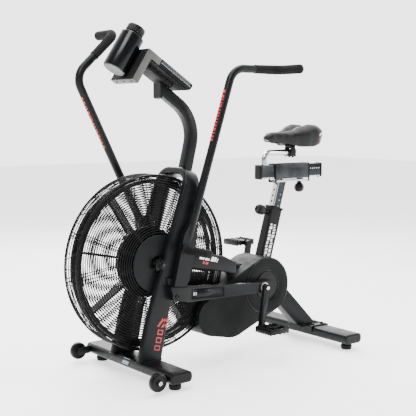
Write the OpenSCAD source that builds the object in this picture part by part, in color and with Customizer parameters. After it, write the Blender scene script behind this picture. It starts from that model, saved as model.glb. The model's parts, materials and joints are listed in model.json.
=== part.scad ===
// Air bike: a fan bike with two swinging handle arms that drive a crank.
// The rider faces -X, the rider's left side is -Y, and the floor is Z = 0.
// Outlines are drawn in the XZ plane, with X counted from the front stabiliser.

/* [Fan] */
// Height of the fan axle above the floor
fan_z = 437; // [434:1:440]
// Outer radius of the fan cage
cage_r = 343; // [338:1:346]
// Radius of the rotor ring's centreline
rotor_r = 316; // [312:1:318]
// Number of fan blades
blade_count = 8; // [6:1:10]
// Distance between neighbouring grille wires
wire_pitch = 8.6; // [8:0.2:12]

/* [Crank and arms] */
// Distance from the crank axis to the pedal spindle
crank_len = 175; // [165:1:175]
// Distance from the crank axis to the connecting rod's pin
crank_pin_r = 65.6; // [60:0.5:66]
// Angle of the left crank pin at rest
crank_rest = 172; // [168:1:176]
// Angle from the crank pin to the pedal spindle
pedal_lag = 66; // [60:1:72]
// Distance from the arm's pivot to the rod's front pin
arm_foot_r = 182; // [180:1:186]
// Distance between the connecting rod's two pins
rod_len = 444.5; // [442:0.5:446]
// Radius of the handle arm's tube
arm_tube_r = 16; // [14:0.5:17]
// Length of the handle's piece that runs to the rear
handle_back = 243; // [235:1:250]
// Length of the handle's piece that runs outward
handle_out = 130; // [120:1:140]

/* [Seat] */
// Lean of the seat tube from the vertical, in degrees
seat_lean = 16.5; // [16:0.5:17]
// Depth of the seat post along the bike
post_d = 45; // [42:1:46]
// Width of the seat post across the bike
post_w = 32; // [28:1:33]

/* [Stance] */
// Distance between the two stabilisers
wheelbase = 927; // [920:1:935]
// Half length of the front stabiliser
front_half = 300; // [295:1:300]
// Half length of the rear stabiliser
rear_half = 280; // [270:1:285]

/* [Hidden] */
$fn = 64;

charcoal = [0.13, 0.13, 0.14];
black = [0.05, 0.05, 0.05];
steel = [0.62, 0.63, 0.65];
grey = [0.38, 0.39, 0.4];

running = 0.05;
gap = 0.3;

// Stabilisers
tube_low = 30;
tube_high = 72;
front_depth = 98;
rear_depth = 95;
foot_r = 24;
foot_front_y = 256;
foot_rear_y = 237;
wheel_r = 34.5;
wheel_x = -97;
wheel_z = 48;
wheel_y = 285;
wheel_w = 26;

// Fork: the front edge has one bend, and the leg grows narrower upward.
leg_in = 80;
leg_out = 108;
leg_mid = (leg_in + leg_out) / 2;
leg_w = leg_out - leg_in;
leg_foot = [-58, tube_high];
leg_bend = [-14, 244];
leg_top = [157, 735];
leg_depths = [104, 96, 72];
fork_lean = atan2(leg_top[0] - leg_bend[0], leg_top[1] - leg_bend[1]);
back_low = leg_bend + [leg_depths[1], 0];
back_high = leg_top + leg_depths[2] * [cos(fork_lean), -sin(fork_lean)];
// Where the upper leg's rear edge stands at height z
function leg_back(z) =
  back_low[0] + (back_high[0] - back_low[0]) * (z - back_low[1]) / (back_high[1] - back_low[1]);
arch_r = 60;

// Fan
fan = [53.4, fan_z];
rim_half = 42;
plate_r = 112;
near_plate_y = 72;
far_plate_y = 54;
wire_r = 1.5;
axle_r = 7.5;
blade_half = 28;
hub_r = 138;
fan_pulley_r = 30;

// Crank train
crank = [606, 290];
jack = [410, 208];
jack_small_r = 32;
jack_large_r = 92;
crank_pulley_r = 95;
stage_one = [34, 54];
stage_two = [60.5, 74.5];
belt_t = 4;
casing_half = 80;
casing_wall = 3;
casing_r = 121;
belly = [418, 211];
belly_r = 115;
nose = [323, 193];
nose_r = 78;
bb_r = 30;
shaft_r = 10;

// Arms, rods and pedals, by their distance from the centre plane
arm_pivot = [139, 492];
arm_mid = 125;
arm_t = 22;
rod_in = 111;
rod_out = 139;
crank_arm_in = 143;
crank_arm_out = 157;
pedal_in = 168;
pedal_out = 268;
peg_out = 291;
rod_pin_r = 11;
peg_r = 16;
stub_r = 12.5;
shin_tilt = 13.4;
handle_top = [59.5, 728.9];
handle_low = [18, 132];
handle_spread = 18;
knee_r = 70;
wrist_r = 34;
grip_r = 18.5;

function polar(r, a) = [r * cos(a), r * sin(a)];
function heading(v) = atan2(v[1], v[0]);
function foot_angle(pin) =
  let (v = pin - arm_pivot, d = norm(v))
  heading(v) - acos((arm_foot_r * arm_foot_r + d * d - rod_len * rod_len) / (2 * arm_foot_r * d));

pin_left = crank + polar(crank_pin_r, crank_rest);
pin_right = crank - polar(crank_pin_r, crank_rest);
spindle_left = crank + polar(crank_len, crank_rest + pedal_lag);
spindle_right = crank - polar(crank_len, crank_rest + pedal_lag);
foot_left = arm_pivot + polar(arm_foot_r, foot_angle(pin_left));
foot_right = arm_pivot + polar(arm_foot_r, foot_angle(pin_right));

// Seat
seat_base = [633, 330];
seat_tube_len = 286;
pin_drop = 22;
seat_tube_d = 62;
seat_tube_w = 44;
post_low = 100;
post_high = 440;
slider_z = 764.5;
slider_h = 57;
slider_front = 620;
slider_back = 984;
sleeve_front = 704;
sleeve_back = 901;
slider_w = 36;
saddle_tube_x = 655;
saddle_tube_z = 845;
saddle_tube_r = 13;
clamp_x = 806;
tilt_z = 872;
rail_y = 24;
rail_z = 886;
pad_low = 869;
pad_floor = 897;

// The middle of the bike's length, from the cage's front to the slider's end
mid_x = (fan[0] - cage_r + slider_back) / 2;

// Console: its screen slopes down towards the rider.
console_slope = 33.1;
console_origin = [17.5, 1253];
console_len = 242;
console_half = 78;
console_t = 31;
shelf_t = 28;
shelf_drop = 138;
cup_r = 46;
cup_len = 152;
bottle_r = 42;

// Mast: a straight foot, one bend forward, and a straight head
mast_w = 44;
mast_foot = [239, 799];
mast_heading = 76;
mast_rise = 92;
mast_bend_r = 150;
mast_turn = 69.8;
mast_reach = 117;

// ---- helpers ----

module placed() {
  translate([-mid_x, 0, 0]) children();
}

// Extrudes an XZ outline from y0 to y1.
module slab(y0, y1) {
  translate([0, y1, 0]) rotate([90, 0, 0]) linear_extrude(y1 - y0) children();
}

// Gives the left side's part, or its mirror image on the right.
module sided(side) {
  mirror([0, side > 0 ? 1 : 0, 0]) children();
}

module both_sides() {
  for (side = [-1, 1]) sided(side) children();
}

module y_rod(p, r, y0, y1) {
  translate([p[0], y1, p[1]]) rotate([90, 0, 0]) cylinder(r = r, h = y1 - y0);
}

module y_tube(p, r_out, r_in, y0, y1) {
  difference() {
    y_rod(p, r_out, y0, y1);
    y_rod(p, r_in, y0 - 1, y1 + 1);
  }
}

function arc(c, r, a0, a1, steps) = [for (i = [0:steps]) c + polar(r, a0 + (a1 - a0) * i / steps)];

// Outline of a strap that runs round two circles.
module strap_outline(c1, r1, c2, r2, steps = 36) {
  v = c2 - c1;
  a = heading(v);
  b = acos((r1 - r2) / norm(v));
  polygon(concat(arc(c1, r1, a + b, a + 360 - b, steps), arc(c2, r2, a - b, a + b, steps)));
}

module belt(c1, r1, c2, r2, span) {
  slab(span[0], span[1]) difference() {
    strap_outline(c1, r1 + belt_t, c2, r2 + belt_t);
    strap_outline(c1, r1, c2, r2);
  }
}

// A rectangle with rounded corners, centred on the origin.
module round_rect(w, h, r) {
  difference() {
    square([w, h], center = true);
    for (sx = [-1, 1], sy = [-1, 1])
      translate([sx * w / 2, sy * h / 2]) rotate(sx * sy > 0 ? (sx > 0 ? 180 : 0) : (sx > 0 ? 90 : -90))
        difference() {
          square(r);
          translate([r, r]) circle(r);
        }
  }
}

// Moves the Z axis onto the line from a to b, with its foot at a.
module along(a, b) {
  v = b - a;
  translate(a) rotate([0, acos(v[2] / norm(v)), heading(v)]) children();
}

module rod_between(a, b, r) {
  along(a, b) cylinder(r = r, h = norm(b - a));
}

// ---- stance ----

module stabiliser(x, depth, half) {
  translate([x, half - 4, (tube_low + tube_high) / 2])
    rotate([90, 0, 0]) linear_extrude(2 * half - 8) round_rect(depth, tube_high - tube_low, 12);
}

module front_stabiliser() color(charcoal) placed() stabiliser(-1, front_depth, front_half);

module rear_stabiliser() color(charcoal) placed() stabiliser(wheelbase, rear_depth, rear_half);

module stabiliser_caps() color(black) placed() {
  for (end = [[-1, front_depth, front_half], [wheelbase, rear_depth, rear_half]])
    both_sides() translate([end[0], -end[2] + 4, (tube_low + tube_high) / 2])
      rotate([90, 0, 0]) linear_extrude(4) round_rect(end[1], tube_high - tube_low, 12);
}

module rubber_feet() color(black) placed() {
  for (foot = [[0, foot_front_y], [wheelbase, foot_rear_y]])
    both_sides() translate([foot[0], -foot[1], 0]) {
      cylinder(r = foot_r - 2, h = 4);
      translate([0, 0, 4]) cylinder(r = foot_r, h = 16);
      translate([0, 0, 20]) cylinder(r = 13, h = tube_low - 20);
    }
}

module wheel_brackets() color(charcoal) placed() both_sides() {
  slab(-wheel_y + wheel_w / 2 + 1, -wheel_y + wheel_w / 2 + 7)
    polygon([[-50, 36], [-50, 68], [-82, 66], [-108, 58], [-110, 40], [-98, 33]]);
  y_rod([wheel_x, wheel_z], 6, -wheel_y - wheel_w / 2 - 1, -wheel_y + wheel_w / 2 + 1);
  y_rod([wheel_x, wheel_z], 10, -wheel_y - wheel_w / 2 - 6, -wheel_y - wheel_w / 2 - 1);
}

module transport_wheel(side) color(black) placed() sided(side) difference() {
  y_rod([wheel_x, wheel_z], wheel_r, -wheel_y - wheel_w / 2, -wheel_y + wheel_w / 2);
  y_rod([wheel_x, wheel_z], 6 + running, -wheel_y - wheel_w, -wheel_y + wheel_w);
}

module transport_wheel_left() transport_wheel(-1);

module transport_wheel_right() transport_wheel(1);

// ---- fork, mast and frame ----

module fork_leg(side) color(charcoal) placed() sided(side) difference() {
  slab(-leg_out, -leg_in) polygon([
    leg_foot, leg_bend, leg_top, back_high, back_low, leg_foot + [leg_depths[0], 0]
  ]);
  y_rod(arm_pivot, stub_r, -leg_out - 1, -leg_in + 1);
  y_rod(fan, axle_r + running, -leg_out - 1, -leg_in + 1);
}

module fork_leg_left() fork_leg(-1);

module fork_leg_right() fork_leg(1);

// The arch lies in the plane of the upper legs: two quarter bends and a crossing.
module fork_arch() color(charcoal) placed()
  translate([leg_top[0], 0, leg_top[1]]) rotate([0, fork_lean, 0]) {
    both_sides() translate([0, -leg_mid + arch_r, 0]) rotate([90, 0, 90]) rotate([0, 0, 90])
      rotate_extrude(angle = 90) translate([arch_r - leg_w / 2, 0]) square([leg_w, leg_depths[2]]);
    translate([0, -leg_mid + arch_r, arch_r - leg_w / 2])
      cube([leg_depths[2], 2 * (leg_mid - arch_r), leg_w]);
  }

// The mast's foot is cut to the slope of the arch.
module mast_outline() {
  start = mast_foot + polar(mast_rise, mast_heading);
  centre = start + polar(mast_bend_r, mast_heading + 90);
  end = centre + polar(mast_bend_r, mast_heading - 90 + mast_turn);
  out = mast_heading + mast_turn;
  tip = end + polar(mast_reach, out);
  half = mast_w / 2;
  first = mast_heading - 90;
  polygon(concat(
    [mast_foot + polar(half, first) - polar(18, mast_heading)],
    arc(centre, mast_bend_r + half, first, first + mast_turn, 24),
    [[tip[0], tip[1] + half / cos(180 - out)], [tip[0], tip[1] - half / cos(180 - out)]],
    arc(centre, mast_bend_r - half, first + mast_turn, first, 24),
    [mast_foot - polar(half, first) - polar(14, mast_heading)]
  ));
}

module mast() color(charcoal) placed() slab(-mast_w / 2, mast_w / 2) mast_outline();

module upper_stays() color(charcoal) placed() both_sides()
  slab(-leg_out + 3, -leg_in)
    polygon([
      [leg_back(497), 497], [287, 458], [355, 443], [420, 412], [420, 362], [301, 391], [leg_back(421), 421]
    ]);

strut_low = [655, 262];
strut_top = [650, 300];
function tube_corner(end) = seat_base + seat_tube_d / 2 * end * [cos(seat_lean), -sin(seat_lean)];

// The spine joins the stays' cross tube to the bottom bracket inside the casing.
module main_spine() color(charcoal) placed() {
  translate([402, -leg_in, 366]) cube([38, 2 * leg_in, 46]);
  difference() {
    union() {
      slab(-22, 22) polygon([
        [440, 412], [440, 366], [560, 292], [585, 268], [628, 268], strut_low, strut_top,
        tube_corner(1), tube_corner(-1)
      ]);
      y_rod(crank, bb_r, -60, 30);
    }
    y_rod(crank, shaft_r + 8, -61, 31);
  }
}

module seat_tube() color(charcoal) placed()
  translate([seat_base[0], 0, seat_base[1]]) rotate([0, seat_lean, 0]) difference() {
    linear_extrude(seat_tube_len) round_rect(seat_tube_d, seat_tube_w, 6);
    translate([0, 0, -1]) linear_extrude(seat_tube_len + 2) square([post_d + 3, post_w + 3], center = true);
    translate([-seat_tube_d / 2, 0, seat_tube_len - pin_drop]) rotate([0, 90, 0])
      cylinder(r = 5 + running, h = seat_tube_d, center = true);
  }

module seat_collar() color(black) placed()
  translate([seat_base[0], 0, seat_base[1]]) rotate([0, seat_lean, 0]) {
    translate([0, 0, seat_tube_len]) difference() {
      linear_extrude(8) round_rect(seat_tube_d + 8, seat_tube_w + 6, 8);
      translate([0, 0, -1]) linear_extrude(10) square([post_d + 0.8, post_w + 0.8], center = true);
    }
    translate([-seat_tube_d / 2 - 14, 0, seat_tube_len - pin_drop]) rotate([0, 90, 0]) difference() {
      cylinder(r = 12, h = 14);
      translate([0, 0, -1]) cylinder(r = 5 + running, h = 16);
    }
  }

module rear_strut() color(charcoal) placed() {
  slab(-28, 28) polygon([strut_top, [700, 320], [945, 77], [839, 77], [740, 176], strut_low]);
  translate([836, -44, tube_high]) cube([126, 88, 5]);
}

// ---- casing ----

module casing_outline(inset) {
  strap_outline(crank, casing_r - inset, belly, belly_r - inset);
  strap_outline(belly, belly_r - inset, nose, nose_r - inset);
}

module casing_openings() {
  // The crank disc, the seat tube, the strut, the spine and the fan belt pass through the casing.
  y_rod(crank, 64, -casing_half - 1, casing_half + 1);
  translate([seat_base[0], 0, seat_base[1]]) rotate([0, seat_lean, 0])
    cube([seat_tube_d + 2, seat_tube_w + 2, 300], center = true);
  slab(-29, 29) polygon([[650, 302], [700, 322], [790, 240], [790, 120], [739, 175], [655, 261]]);
  slab(-23, 23) polygon([[430, 424], [430, 369], [560, 289], [604, 344]]);
  slab(stage_two[0] - 3, stage_two[1] + 1.5) strap_outline(fan, fan_pulley_r + 8, jack, jack_large_r + 8);
  // The two halves reach round the rim of the cage.
  y_rod(fan, cage_r + 2, -54, 50);
}

module casing(side) color(charcoal) placed() difference() {
  sided(side) difference() {
    slab(-casing_half, 0) casing_outline(0);
    slab(-casing_half + casing_wall, 1) casing_outline(casing_wall);
  }
  casing_openings();
}

module casing_left() casing(-1);

module casing_right() casing(1);

module casing_screws() color(steel) placed() both_sides() {
  for (a = [100, 20, -50]) y_rod(crank + polar(casing_r - 11, a), 3.5, -casing_half - 1.6, -casing_half);
  for (a = [-110, -60]) y_rod(belly + polar(belly_r - 11, a), 3.5, -casing_half - 1.6, -casing_half);
  y_rod(nose + polar(nose_r - 11, 180), 3.5, -casing_half - 1.6, -casing_half);
}

// A flat guard covers the fan belt between the casing and the fan.
module belt_guard() color(charcoal) placed() difference() {
  slab(77, leg_in) strap_outline(fan, fan_pulley_r + 12, [330, 262], 48);
  y_rod(fan, axle_r + 8, 70, 90);
  slab(70, 90) casing_outline(-1);
}

// ---- fan ----

function dome(plate_y, r) = rim_half + (plate_y - rim_half) * (cage_r - r) / (cage_r - plate_r);

module wire_ring(r, y, wire, sides) {
  translate([fan[0], y, fan[1]]) rotate([90, 0, 0])
    rotate_extrude($fn = 96) translate([r, 0]) circle(wire, $fn = sides);
}

// Wires lie on a shallow cone, in front of the radial stays, round a plain hub plate.
module grille(side, plate_y) color(black) placed() sided(side) {
  for (r = [plate_r + wire_pitch : wire_pitch : cage_r - 9]) wire_ring(r, -dome(plate_y, r), wire_r, 6);
  for (a = [7.5 : 30 : 359], da = [-1.2, 1.2]) {
    low = fan + polar(plate_r + 3, a + da);
    high = fan + polar(cage_r - 8, a + da);
    lift = wire_r + 2.2;
    rod_between([low[0], -dome(plate_y, plate_r + 3) + lift, low[1]],
                [high[0], -dome(plate_y, cage_r - 8) + lift, high[1]], 1.8);
  }
  y_tube(fan, plate_r, axle_r + 22, -plate_y - 4, -plate_y - 0.5);
}

module grille_left() grille(-1, near_plate_y);

module grille_right() grille(1, far_plate_y);

module grille_rim() color(black) placed() {
  for (y = [-rim_half, 0, rim_half]) wire_ring(cage_r - 3.5, y, y == 0 ? 2.2 : 3.5, 12);
  for (a = [0 : 15 : 359]) y_rod(fan + polar(cage_r - 5, a), 2, -rim_half, rim_half);
}

module fan_axle() color(steel) placed() {
  y_rod(fan, axle_r, -leg_out - 6, leg_out + 6);
}

// A block on each leg's front edge carries the axle, with its nut outside.
module axle_brackets() color(steel) placed() both_sides() {
  low = fan_z - 20;
  high = fan_z + 21.5;
  difference() {
    union() {
      slab(-leg_out + 6, -leg_in - 2) polygon([[26, low], [44.6, low], [59, high], [26, high]]);
      y_rod(fan, 13, -leg_out - 2, -leg_out + 6);
    }
    y_rod(fan, axle_r + running, -leg_out - 6, -leg_in);
    slab(-leg_out - 6, -leg_in + 1)
      polygon([leg_foot, leg_bend, leg_top, leg_top + [60, 0], leg_foot + [60, 0]]);
  }
}

module fan_rotor() color(black) placed() {
  y_tube(fan, rotor_r + 8, rotor_r - 8, -blade_half, blade_half - 40);
  y_tube(fan, rotor_r + 8, rotor_r - 8, -blade_half + 44, blade_half);
  y_tube(fan, hub_r, 30, -6, 6);
  y_tube(fan, 34, axle_r + running, -52, 52);
  for (i = [0 : blade_count - 1])
    translate([fan[0], 0, fan[1]]) rotate([0, 360 / blade_count * i + 12, 0])
      translate([hub_r - 30, 1 - blade_half, -2]) cube([rotor_r - 4 - hub_r + 30, 2 * blade_half - 2, 4]);
}

module fan_pulley() color(grey) placed() {
  y_tube(fan, fan_pulley_r, axle_r + 0.4, stage_two[0], stage_two[1]);
  y_tube(fan, 16, axle_r + 0.4, 52.2, stage_two[0]);
}

// ---- drive ----

// A small pulley takes the crank's belt, and a large one drives the fan's.
module jackshaft() color(steel) placed() {
  y_rod(jack, shaft_r, -50, 76);
  y_rod(jack, jack_small_r, stage_one[0], stage_one[1]);
  y_rod(jack, jack_large_r, stage_two[0], stage_two[1]);
}

module crank_shaft() color(steel) placed() y_rod(crank, shaft_r, -76, 76);

module crank_pulley() color(grey) placed()
  y_tube(crank, crank_pulley_r, shaft_r, stage_one[0], stage_one[1]);

module drive_belt() color(black) placed()
  belt(crank, crank_pulley_r + gap, jack, jack_small_r + gap, stage_one);

module fan_belt() color(black) placed()
  belt(jack, jack_large_r + gap, fan, fan_pulley_r + gap, stage_two);

// Bearings of the crank and the jackshaft, with the jackshaft's carrier plate.
module shaft_bearings() color(steel) placed() {
  for (y = [-58, 16]) y_tube(crank, shaft_r + 8 - 0.01, shaft_r + running, y, y + 12);
  y_tube(jack, 24, shaft_r + running, -46, -34);
  y_tube(jack, 24, shaft_r + running, 14, 26);
  difference() {
    slab(-34, 14) polygon([
      [380, 180], [440, 180], [440, 236], [552, 285], [552, 296.9], [530, 310.4], [430, 262], [380, 236]
    ]);
    y_rod(jack, shaft_r + 4, -40, 20);
  }
}

// The disc turns in the casing's round opening. The web carries the pin, and the arm the pedal.
module crank_set(side, pin, spindle) color(grey) placed() sided(side) {
  y_rod(crank, 61.5, -casing_half - 1, -casing_half + 4);
  slab(-106, -casing_half - 1) strap_outline(crank, 26, pin, 20);
  slab(-crank_arm_out, -crank_arm_in) strap_outline(pin, 15, spindle, 13);
  y_rod(pin, 10, -crank_arm_out - 3, -crank_arm_out);
  y_rod(spindle, 7, -pedal_out + 12, -crank_arm_out);
}

module crank_left() crank_set(-1, pin_left, spindle_left);

module crank_right() crank_set(1, pin_right, spindle_right);

module pedal(side, spindle) color(black) placed() sided(side) translate([spindle[0], 0, spindle[1]])
  difference() {
    union() {
      translate([0, -pedal_in, 0]) rotate([90, 0, 0]) cylinder(r = 12, h = pedal_out - pedal_in);
      for (x = [-50, 40]) translate([x, -pedal_out, -13]) cube([10, pedal_out - pedal_in, 26]);
      for (y = [-pedal_out, -pedal_in - 12]) translate([-45, y, -11]) cube([90, 12, 22]);
      translate([-45, -(pedal_in + pedal_out) / 2 - 5, -9]) cube([90, 10, 18]);
    }
    translate([0, -pedal_in + 1, 0]) rotate([90, 0, 0])
      cylinder(r = 7 + running, h = pedal_out - pedal_in - 11);
  }

module pedal_left() pedal(-1, spindle_left);

module pedal_right() pedal(1, spindle_right);

// ---- arms and rods ----

module foot_pegs() color(black) placed() both_sides() {
  y_rod(arm_pivot, stub_r, -arm_mid - arm_t / 2 - 1, -leg_in);
  y_rod(arm_pivot, peg_r, -peg_out, -arm_mid - arm_t / 2 - 1);
}

// Puts the arm's own frame, pivot at the origin and foot straight down, in place.
module arm_frame(side, foot) {
  placed() sided(side) translate([arm_pivot[0], 0, arm_pivot[1]])
    rotate([0, -(heading(foot - arm_pivot) + 90), 0]) children();
}

// A bend of radius r at corner p, between the directions u (coming in) and v (going out).
module bend(p, u, v, r, tube) {
  turn = acos(u * v);
  cut = r * tan(turn / 2);
  w = cross(u, v) / sin(turn);
  n = cross(w, u);
  c = p - u * cut + n * r;
  multmatrix([
    [-n[0], u[0], w[0], c[0]], [-n[1], u[1], w[1], c[1]], [-n[2], u[2], w[2], c[2]], [0, 0, 0, 1]
  ]) rotate_extrude(angle = turn) translate([r, 0]) circle(tube);
}

function unit(v) = v / norm(v);

low_point = [handle_low[0], -arm_mid - 2, handle_low[1]];
knee = [handle_top[0], -arm_mid - handle_spread, handle_top[1]];
back_dir = [cos(shin_tilt), 0, sin(shin_tilt)];
wrist = knee + back_dir * handle_back;
rise_dir = unit(knee - low_point);
out_dir = [0, -1, 0];
knee_cut = knee_r * tan(acos(rise_dir * back_dir) / 2);
foam_back = 125;
lap = 2;
slim = 0.3;

module arm(side, foot) color(charcoal) arm_frame(side, foot) {
  difference() {
    union() {
      slab(-arm_mid - arm_t / 2, -arm_mid + arm_t / 2)
        polygon([
          [-19, 40], [-19, -arm_foot_r], [19, -arm_foot_r], [46, -110], [46, 15], [34, 120], [2, 120]
        ]);
      y_rod([0, -arm_foot_r], 19, -arm_mid - arm_t / 2, -arm_mid + arm_t / 2);
    }
    y_rod([0, 0], stub_r + running, -150, -100);
    y_rod([0, -arm_foot_r], 8 + running, -150, -100);
  }
  // The straight lengths lap the bends, which are a little thinner.
  rod_between(low_point - rise_dir * 12.5, knee - rise_dir * (knee_cut - lap), arm_tube_r);
  bend(knee, rise_dir, back_dir, knee_r, arm_tube_r - slim);
  rod_between(knee + back_dir * (knee_cut - lap), wrist - back_dir * (wrist_r - lap), arm_tube_r);
  bend(wrist, back_dir, out_dir, wrist_r, arm_tube_r - slim);
  rod_between(wrist + out_dir * (wrist_r - lap), wrist + out_dir * (handle_out - 4), arm_tube_r);
}

module arm_left() arm(-1, foot_left);

module arm_right() arm(1, foot_right);

// A foam sleeve runs round the wrist bend to the closed end of the handle.
module grip(side, foot) color(black) arm_frame(side, foot) {
  inner = arm_tube_r + running;
  difference() {
    union() {
      rod_between(wrist - back_dir * foam_back, wrist - back_dir * (wrist_r - lap), grip_r);
      bend(wrist, back_dir, out_dir, wrist_r, grip_r - slim);
      rod_between(wrist + out_dir * (wrist_r - lap), wrist + out_dir * handle_out, grip_r);
    }
    rod_between(wrist - back_dir * (foam_back + 1), wrist - back_dir * (wrist_r - lap), inner);
    bend(wrist, back_dir, out_dir, wrist_r, inner - slim);
    rod_between(wrist + out_dir * (wrist_r - lap), wrist + out_dir * (handle_out - 4), inner);
  }
}

module grip_left() grip(-1, foot_left);

module grip_right() grip(1, foot_right);

// The rod's frame has the front pin at the origin and the big end on +X.
module rod(side, foot, pin) color(charcoal)
  placed() sided(side) translate([foot[0], 0, foot[1]]) rotate([0, -heading(pin - foot), 0]) {
    difference() {
      union() {
        slab(-rod_out, -rod_in) polygon([[50, -28], [50, 34], [rod_len, 20], [rod_len, -20]]);
        y_rod([rod_len, 0], 24, -rod_out, -rod_in);
      }
      slab(-rod_out - 1, -rod_out + 2) polygon([[70, -17], [70, 22], [230, 20], [230, -17]]);
    }
    // Two cheeks reach round the arm's foot.
    slab(-rod_out, -rod_out + 2.6) front_cheek(40);
    slab(-rod_in - 2.6, -rod_in) front_cheek(72);
    y_rod([0, 0], 8, -rod_out + 1, -rod_in - 1);
    y_rod([rod_len, 0], rod_pin_r, -rod_out - 2, -rod_in + 2);
    y_tube([rod_len, 0], 20, 15, -rod_out - 2, -rod_out + 1);
  }

module front_cheek(top) {
  circle_r = 21;
  polygon([
    [-circle_r - 14, top], [12, top - 4], [52, 32], [52, -26], [0, -circle_r + 4], [-circle_r + 4, 0]
  ]);
  circle(circle_r);
}

module rod_left() rod(-1, foot_left, pin_left);

module rod_right() rod(1, foot_right, pin_right);

// ---- seat ----

module seat_frame() {
  placed() translate([seat_base[0], 0, seat_base[1]]) rotate([0, seat_lean, 0]) children();
}

// The post's top is cut level, under the sleeve.
module seat_post() color(steel) difference() {
  seat_frame() difference() {
    translate([0, 0, post_low]) linear_extrude(post_high - post_low) round_rect(post_d, post_w, 4);
    for (z = [seat_tube_len - pin_drop - 125 : 25 : seat_tube_len + 80])
      translate([-post_d, 0, z]) rotate([0, 90, 0]) cylinder(r = 5.2, h = post_d + 1);
  }
  placed() translate([seat_base[0], -50, slider_z - slider_h / 2 - 4]) cube([300, 100, 100]);
}

// The sleeve is fixed on the post and guides the slider bar.
module slider_sleeve() color(grey) placed() {
  low = slider_z - slider_h / 2 - 4;
  high = slider_z + slider_h / 2 + 4;
  difference() {
    slab(-slider_w / 2 - 4, slider_w / 2 + 4)
      polygon([[sleeve_front, low], [sleeve_front, high], [sleeve_back, high], [sleeve_back, low]]);
    slab(-slider_w / 2 - gap, slider_w / 2 + gap) polygon([
      [sleeve_front - 1, low + 4 - gap], [sleeve_front - 1, high - 4 + gap],
      [sleeve_back + 1, high - 4 + gap], [sleeve_back + 1, low + 4 - gap]
    ]);
    translate([862, 0, low - 1]) cylinder(r = 5 + running, h = 8);
  }
  translate([862, 0, low - 14]) difference() {
    cylinder(r = 11, h = 14);
    translate([0, 0, -1]) cylinder(r = 5 + running, h = 16);
  }
}

module slider_bar() color(grey) placed() {
  low = slider_z - slider_h / 2;
  difference() {
    translate([slider_front + 8, -slider_w / 2, low])
      cube([slider_back - slider_front - 16, slider_w, slider_h]);
    translate([slider_front, -slider_w / 2 + 3, low + 3])
      cube([slider_back - slider_front, slider_w - 6, slider_h - 6]);
    translate([saddle_tube_x, 0, slider_z]) cylinder(r = saddle_tube_r, h = slider_h);
    for (i = [0:4]) translate([842 + i * 20, 0, low - 1]) cylinder(r = 5.4, h = 5);
  }
  for (x = [slider_front, slider_back - 8])
    translate([x, -slider_w / 2 - 2, low - 2]) cube([8, slider_w + 4, slider_h + 4]);
}

module pull_knob(stem) {
  cylinder(r = 5, h = stem);
  translate([0, 0, -8]) cylinder(r = 10, h = 8);
  translate([0, 0, -42]) cylinder(r = 22, h = 34);
  translate([0, 0, -49]) cylinder(r = 15, h = 7);
}

module post_knob() color(black) seat_frame()
  translate([-seat_tube_d / 2 - 14.5, 0, seat_tube_len - pin_drop]) rotate([0, 90, 0]) pull_knob(22);

module slider_knob() color(black) placed()
  translate([862, 0, slider_z - slider_h / 2 - 18.5]) pull_knob(18);

module saddle_post() color(steel) placed() {
  knee_z = saddle_tube_z;
  low = [saddle_tube_x, 0, slider_z + 2];
  corner = [saddle_tube_x, 0, knee_z];
  tip = [clamp_x + 14, 0, knee_z];
  r = 30;
  rod_between(low, corner - [0, 0, r], saddle_tube_r);
  bend(corner, [0, 0, 1], [1, 0, 0], r, saddle_tube_r);
  rod_between(corner + [r, 0, 0], tip, saddle_tube_r);
}

// The clamp grips the tube, and its cross bolt carries the rails.
module saddle_clamp() color(black) placed() {
  difference() {
    translate([clamp_x - 17, -22, saddle_tube_z - 18]) cube([34, 44, 32]);
    translate([clamp_x - 18, 0, saddle_tube_z]) rotate([0, 90, 0])
      cylinder(r = saddle_tube_r + running, h = 36);
    translate([clamp_x - 18, -3, saddle_tube_z - 19]) cube([36, 6, 19]);
  }
  both_sides() slab(-22, -17)
    polygon([[clamp_x - 12, saddle_tube_z + 14], [clamp_x + 12, saddle_tube_z + 14],
             [clamp_x + 10, tilt_z + 8], [clamp_x - 10, tilt_z + 8]]);
  y_rod([clamp_x, tilt_z], 4, -26, 26);
}

module saddle_rails() color(steel) placed() {
  y_tube([clamp_x, tilt_z], 11, 4 + running, -16.5, 16.5);
  difference() {
    translate([clamp_x - 26, -rail_y - 5, rail_z - 3.5]) cube([52, 2 * rail_y + 10, 6]);
    y_rod([clamp_x, tilt_z], 4 + running, -16.5, 16.5);
  }
  both_sides() {
    rod_between([clamp_x - 74, -rail_y, rail_z], [clamp_x + 74, -rail_y, rail_z], 3.5);
    rod_between([clamp_x - 73, -rail_y, rail_z], [clamp_x - 104, -12, pad_floor + 2], 3.5);
    rod_between([clamp_x + 73, -rail_y, rail_z], [clamp_x + 94, -34, pad_floor + 2], 3.5);
  }
}

// A plain closed solid of the saddle's size, with a channel for the rails beneath.
module saddle_pad() color(black) placed() difference() {
  intersection() {
    union() {
      hull() {
        translate([675, 0, 914]) scale([1, 1, 1.1]) sphere(22, $fn = 32);
        translate([790, 0, 918]) scale([1, 1, 0.75]) sphere(42, $fn = 32);
      }
      hull() both_sides() {
        translate([790, -8, 918]) scale([1, 1, 0.75]) sphere(42, $fn = 32);
        translate([886, -56, 919]) scale([1, 0.8, 0.93]) sphere(60, $fn = 32);
      }
    }
    translate([640, -120, pad_low]) cube([340, 240, 120]);
  }
  translate([698, -38, pad_low - 1]) cube([260, 76, pad_floor - pad_low + 1]);
}

// ---- console ----

// The console's frame: X along the slope, Z out of the screen, origin at the top front edge.
module console_frame() {
  placed() translate([console_origin[0], 0, console_origin[1]]) rotate([0, console_slope, 0]) children();
}

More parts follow.
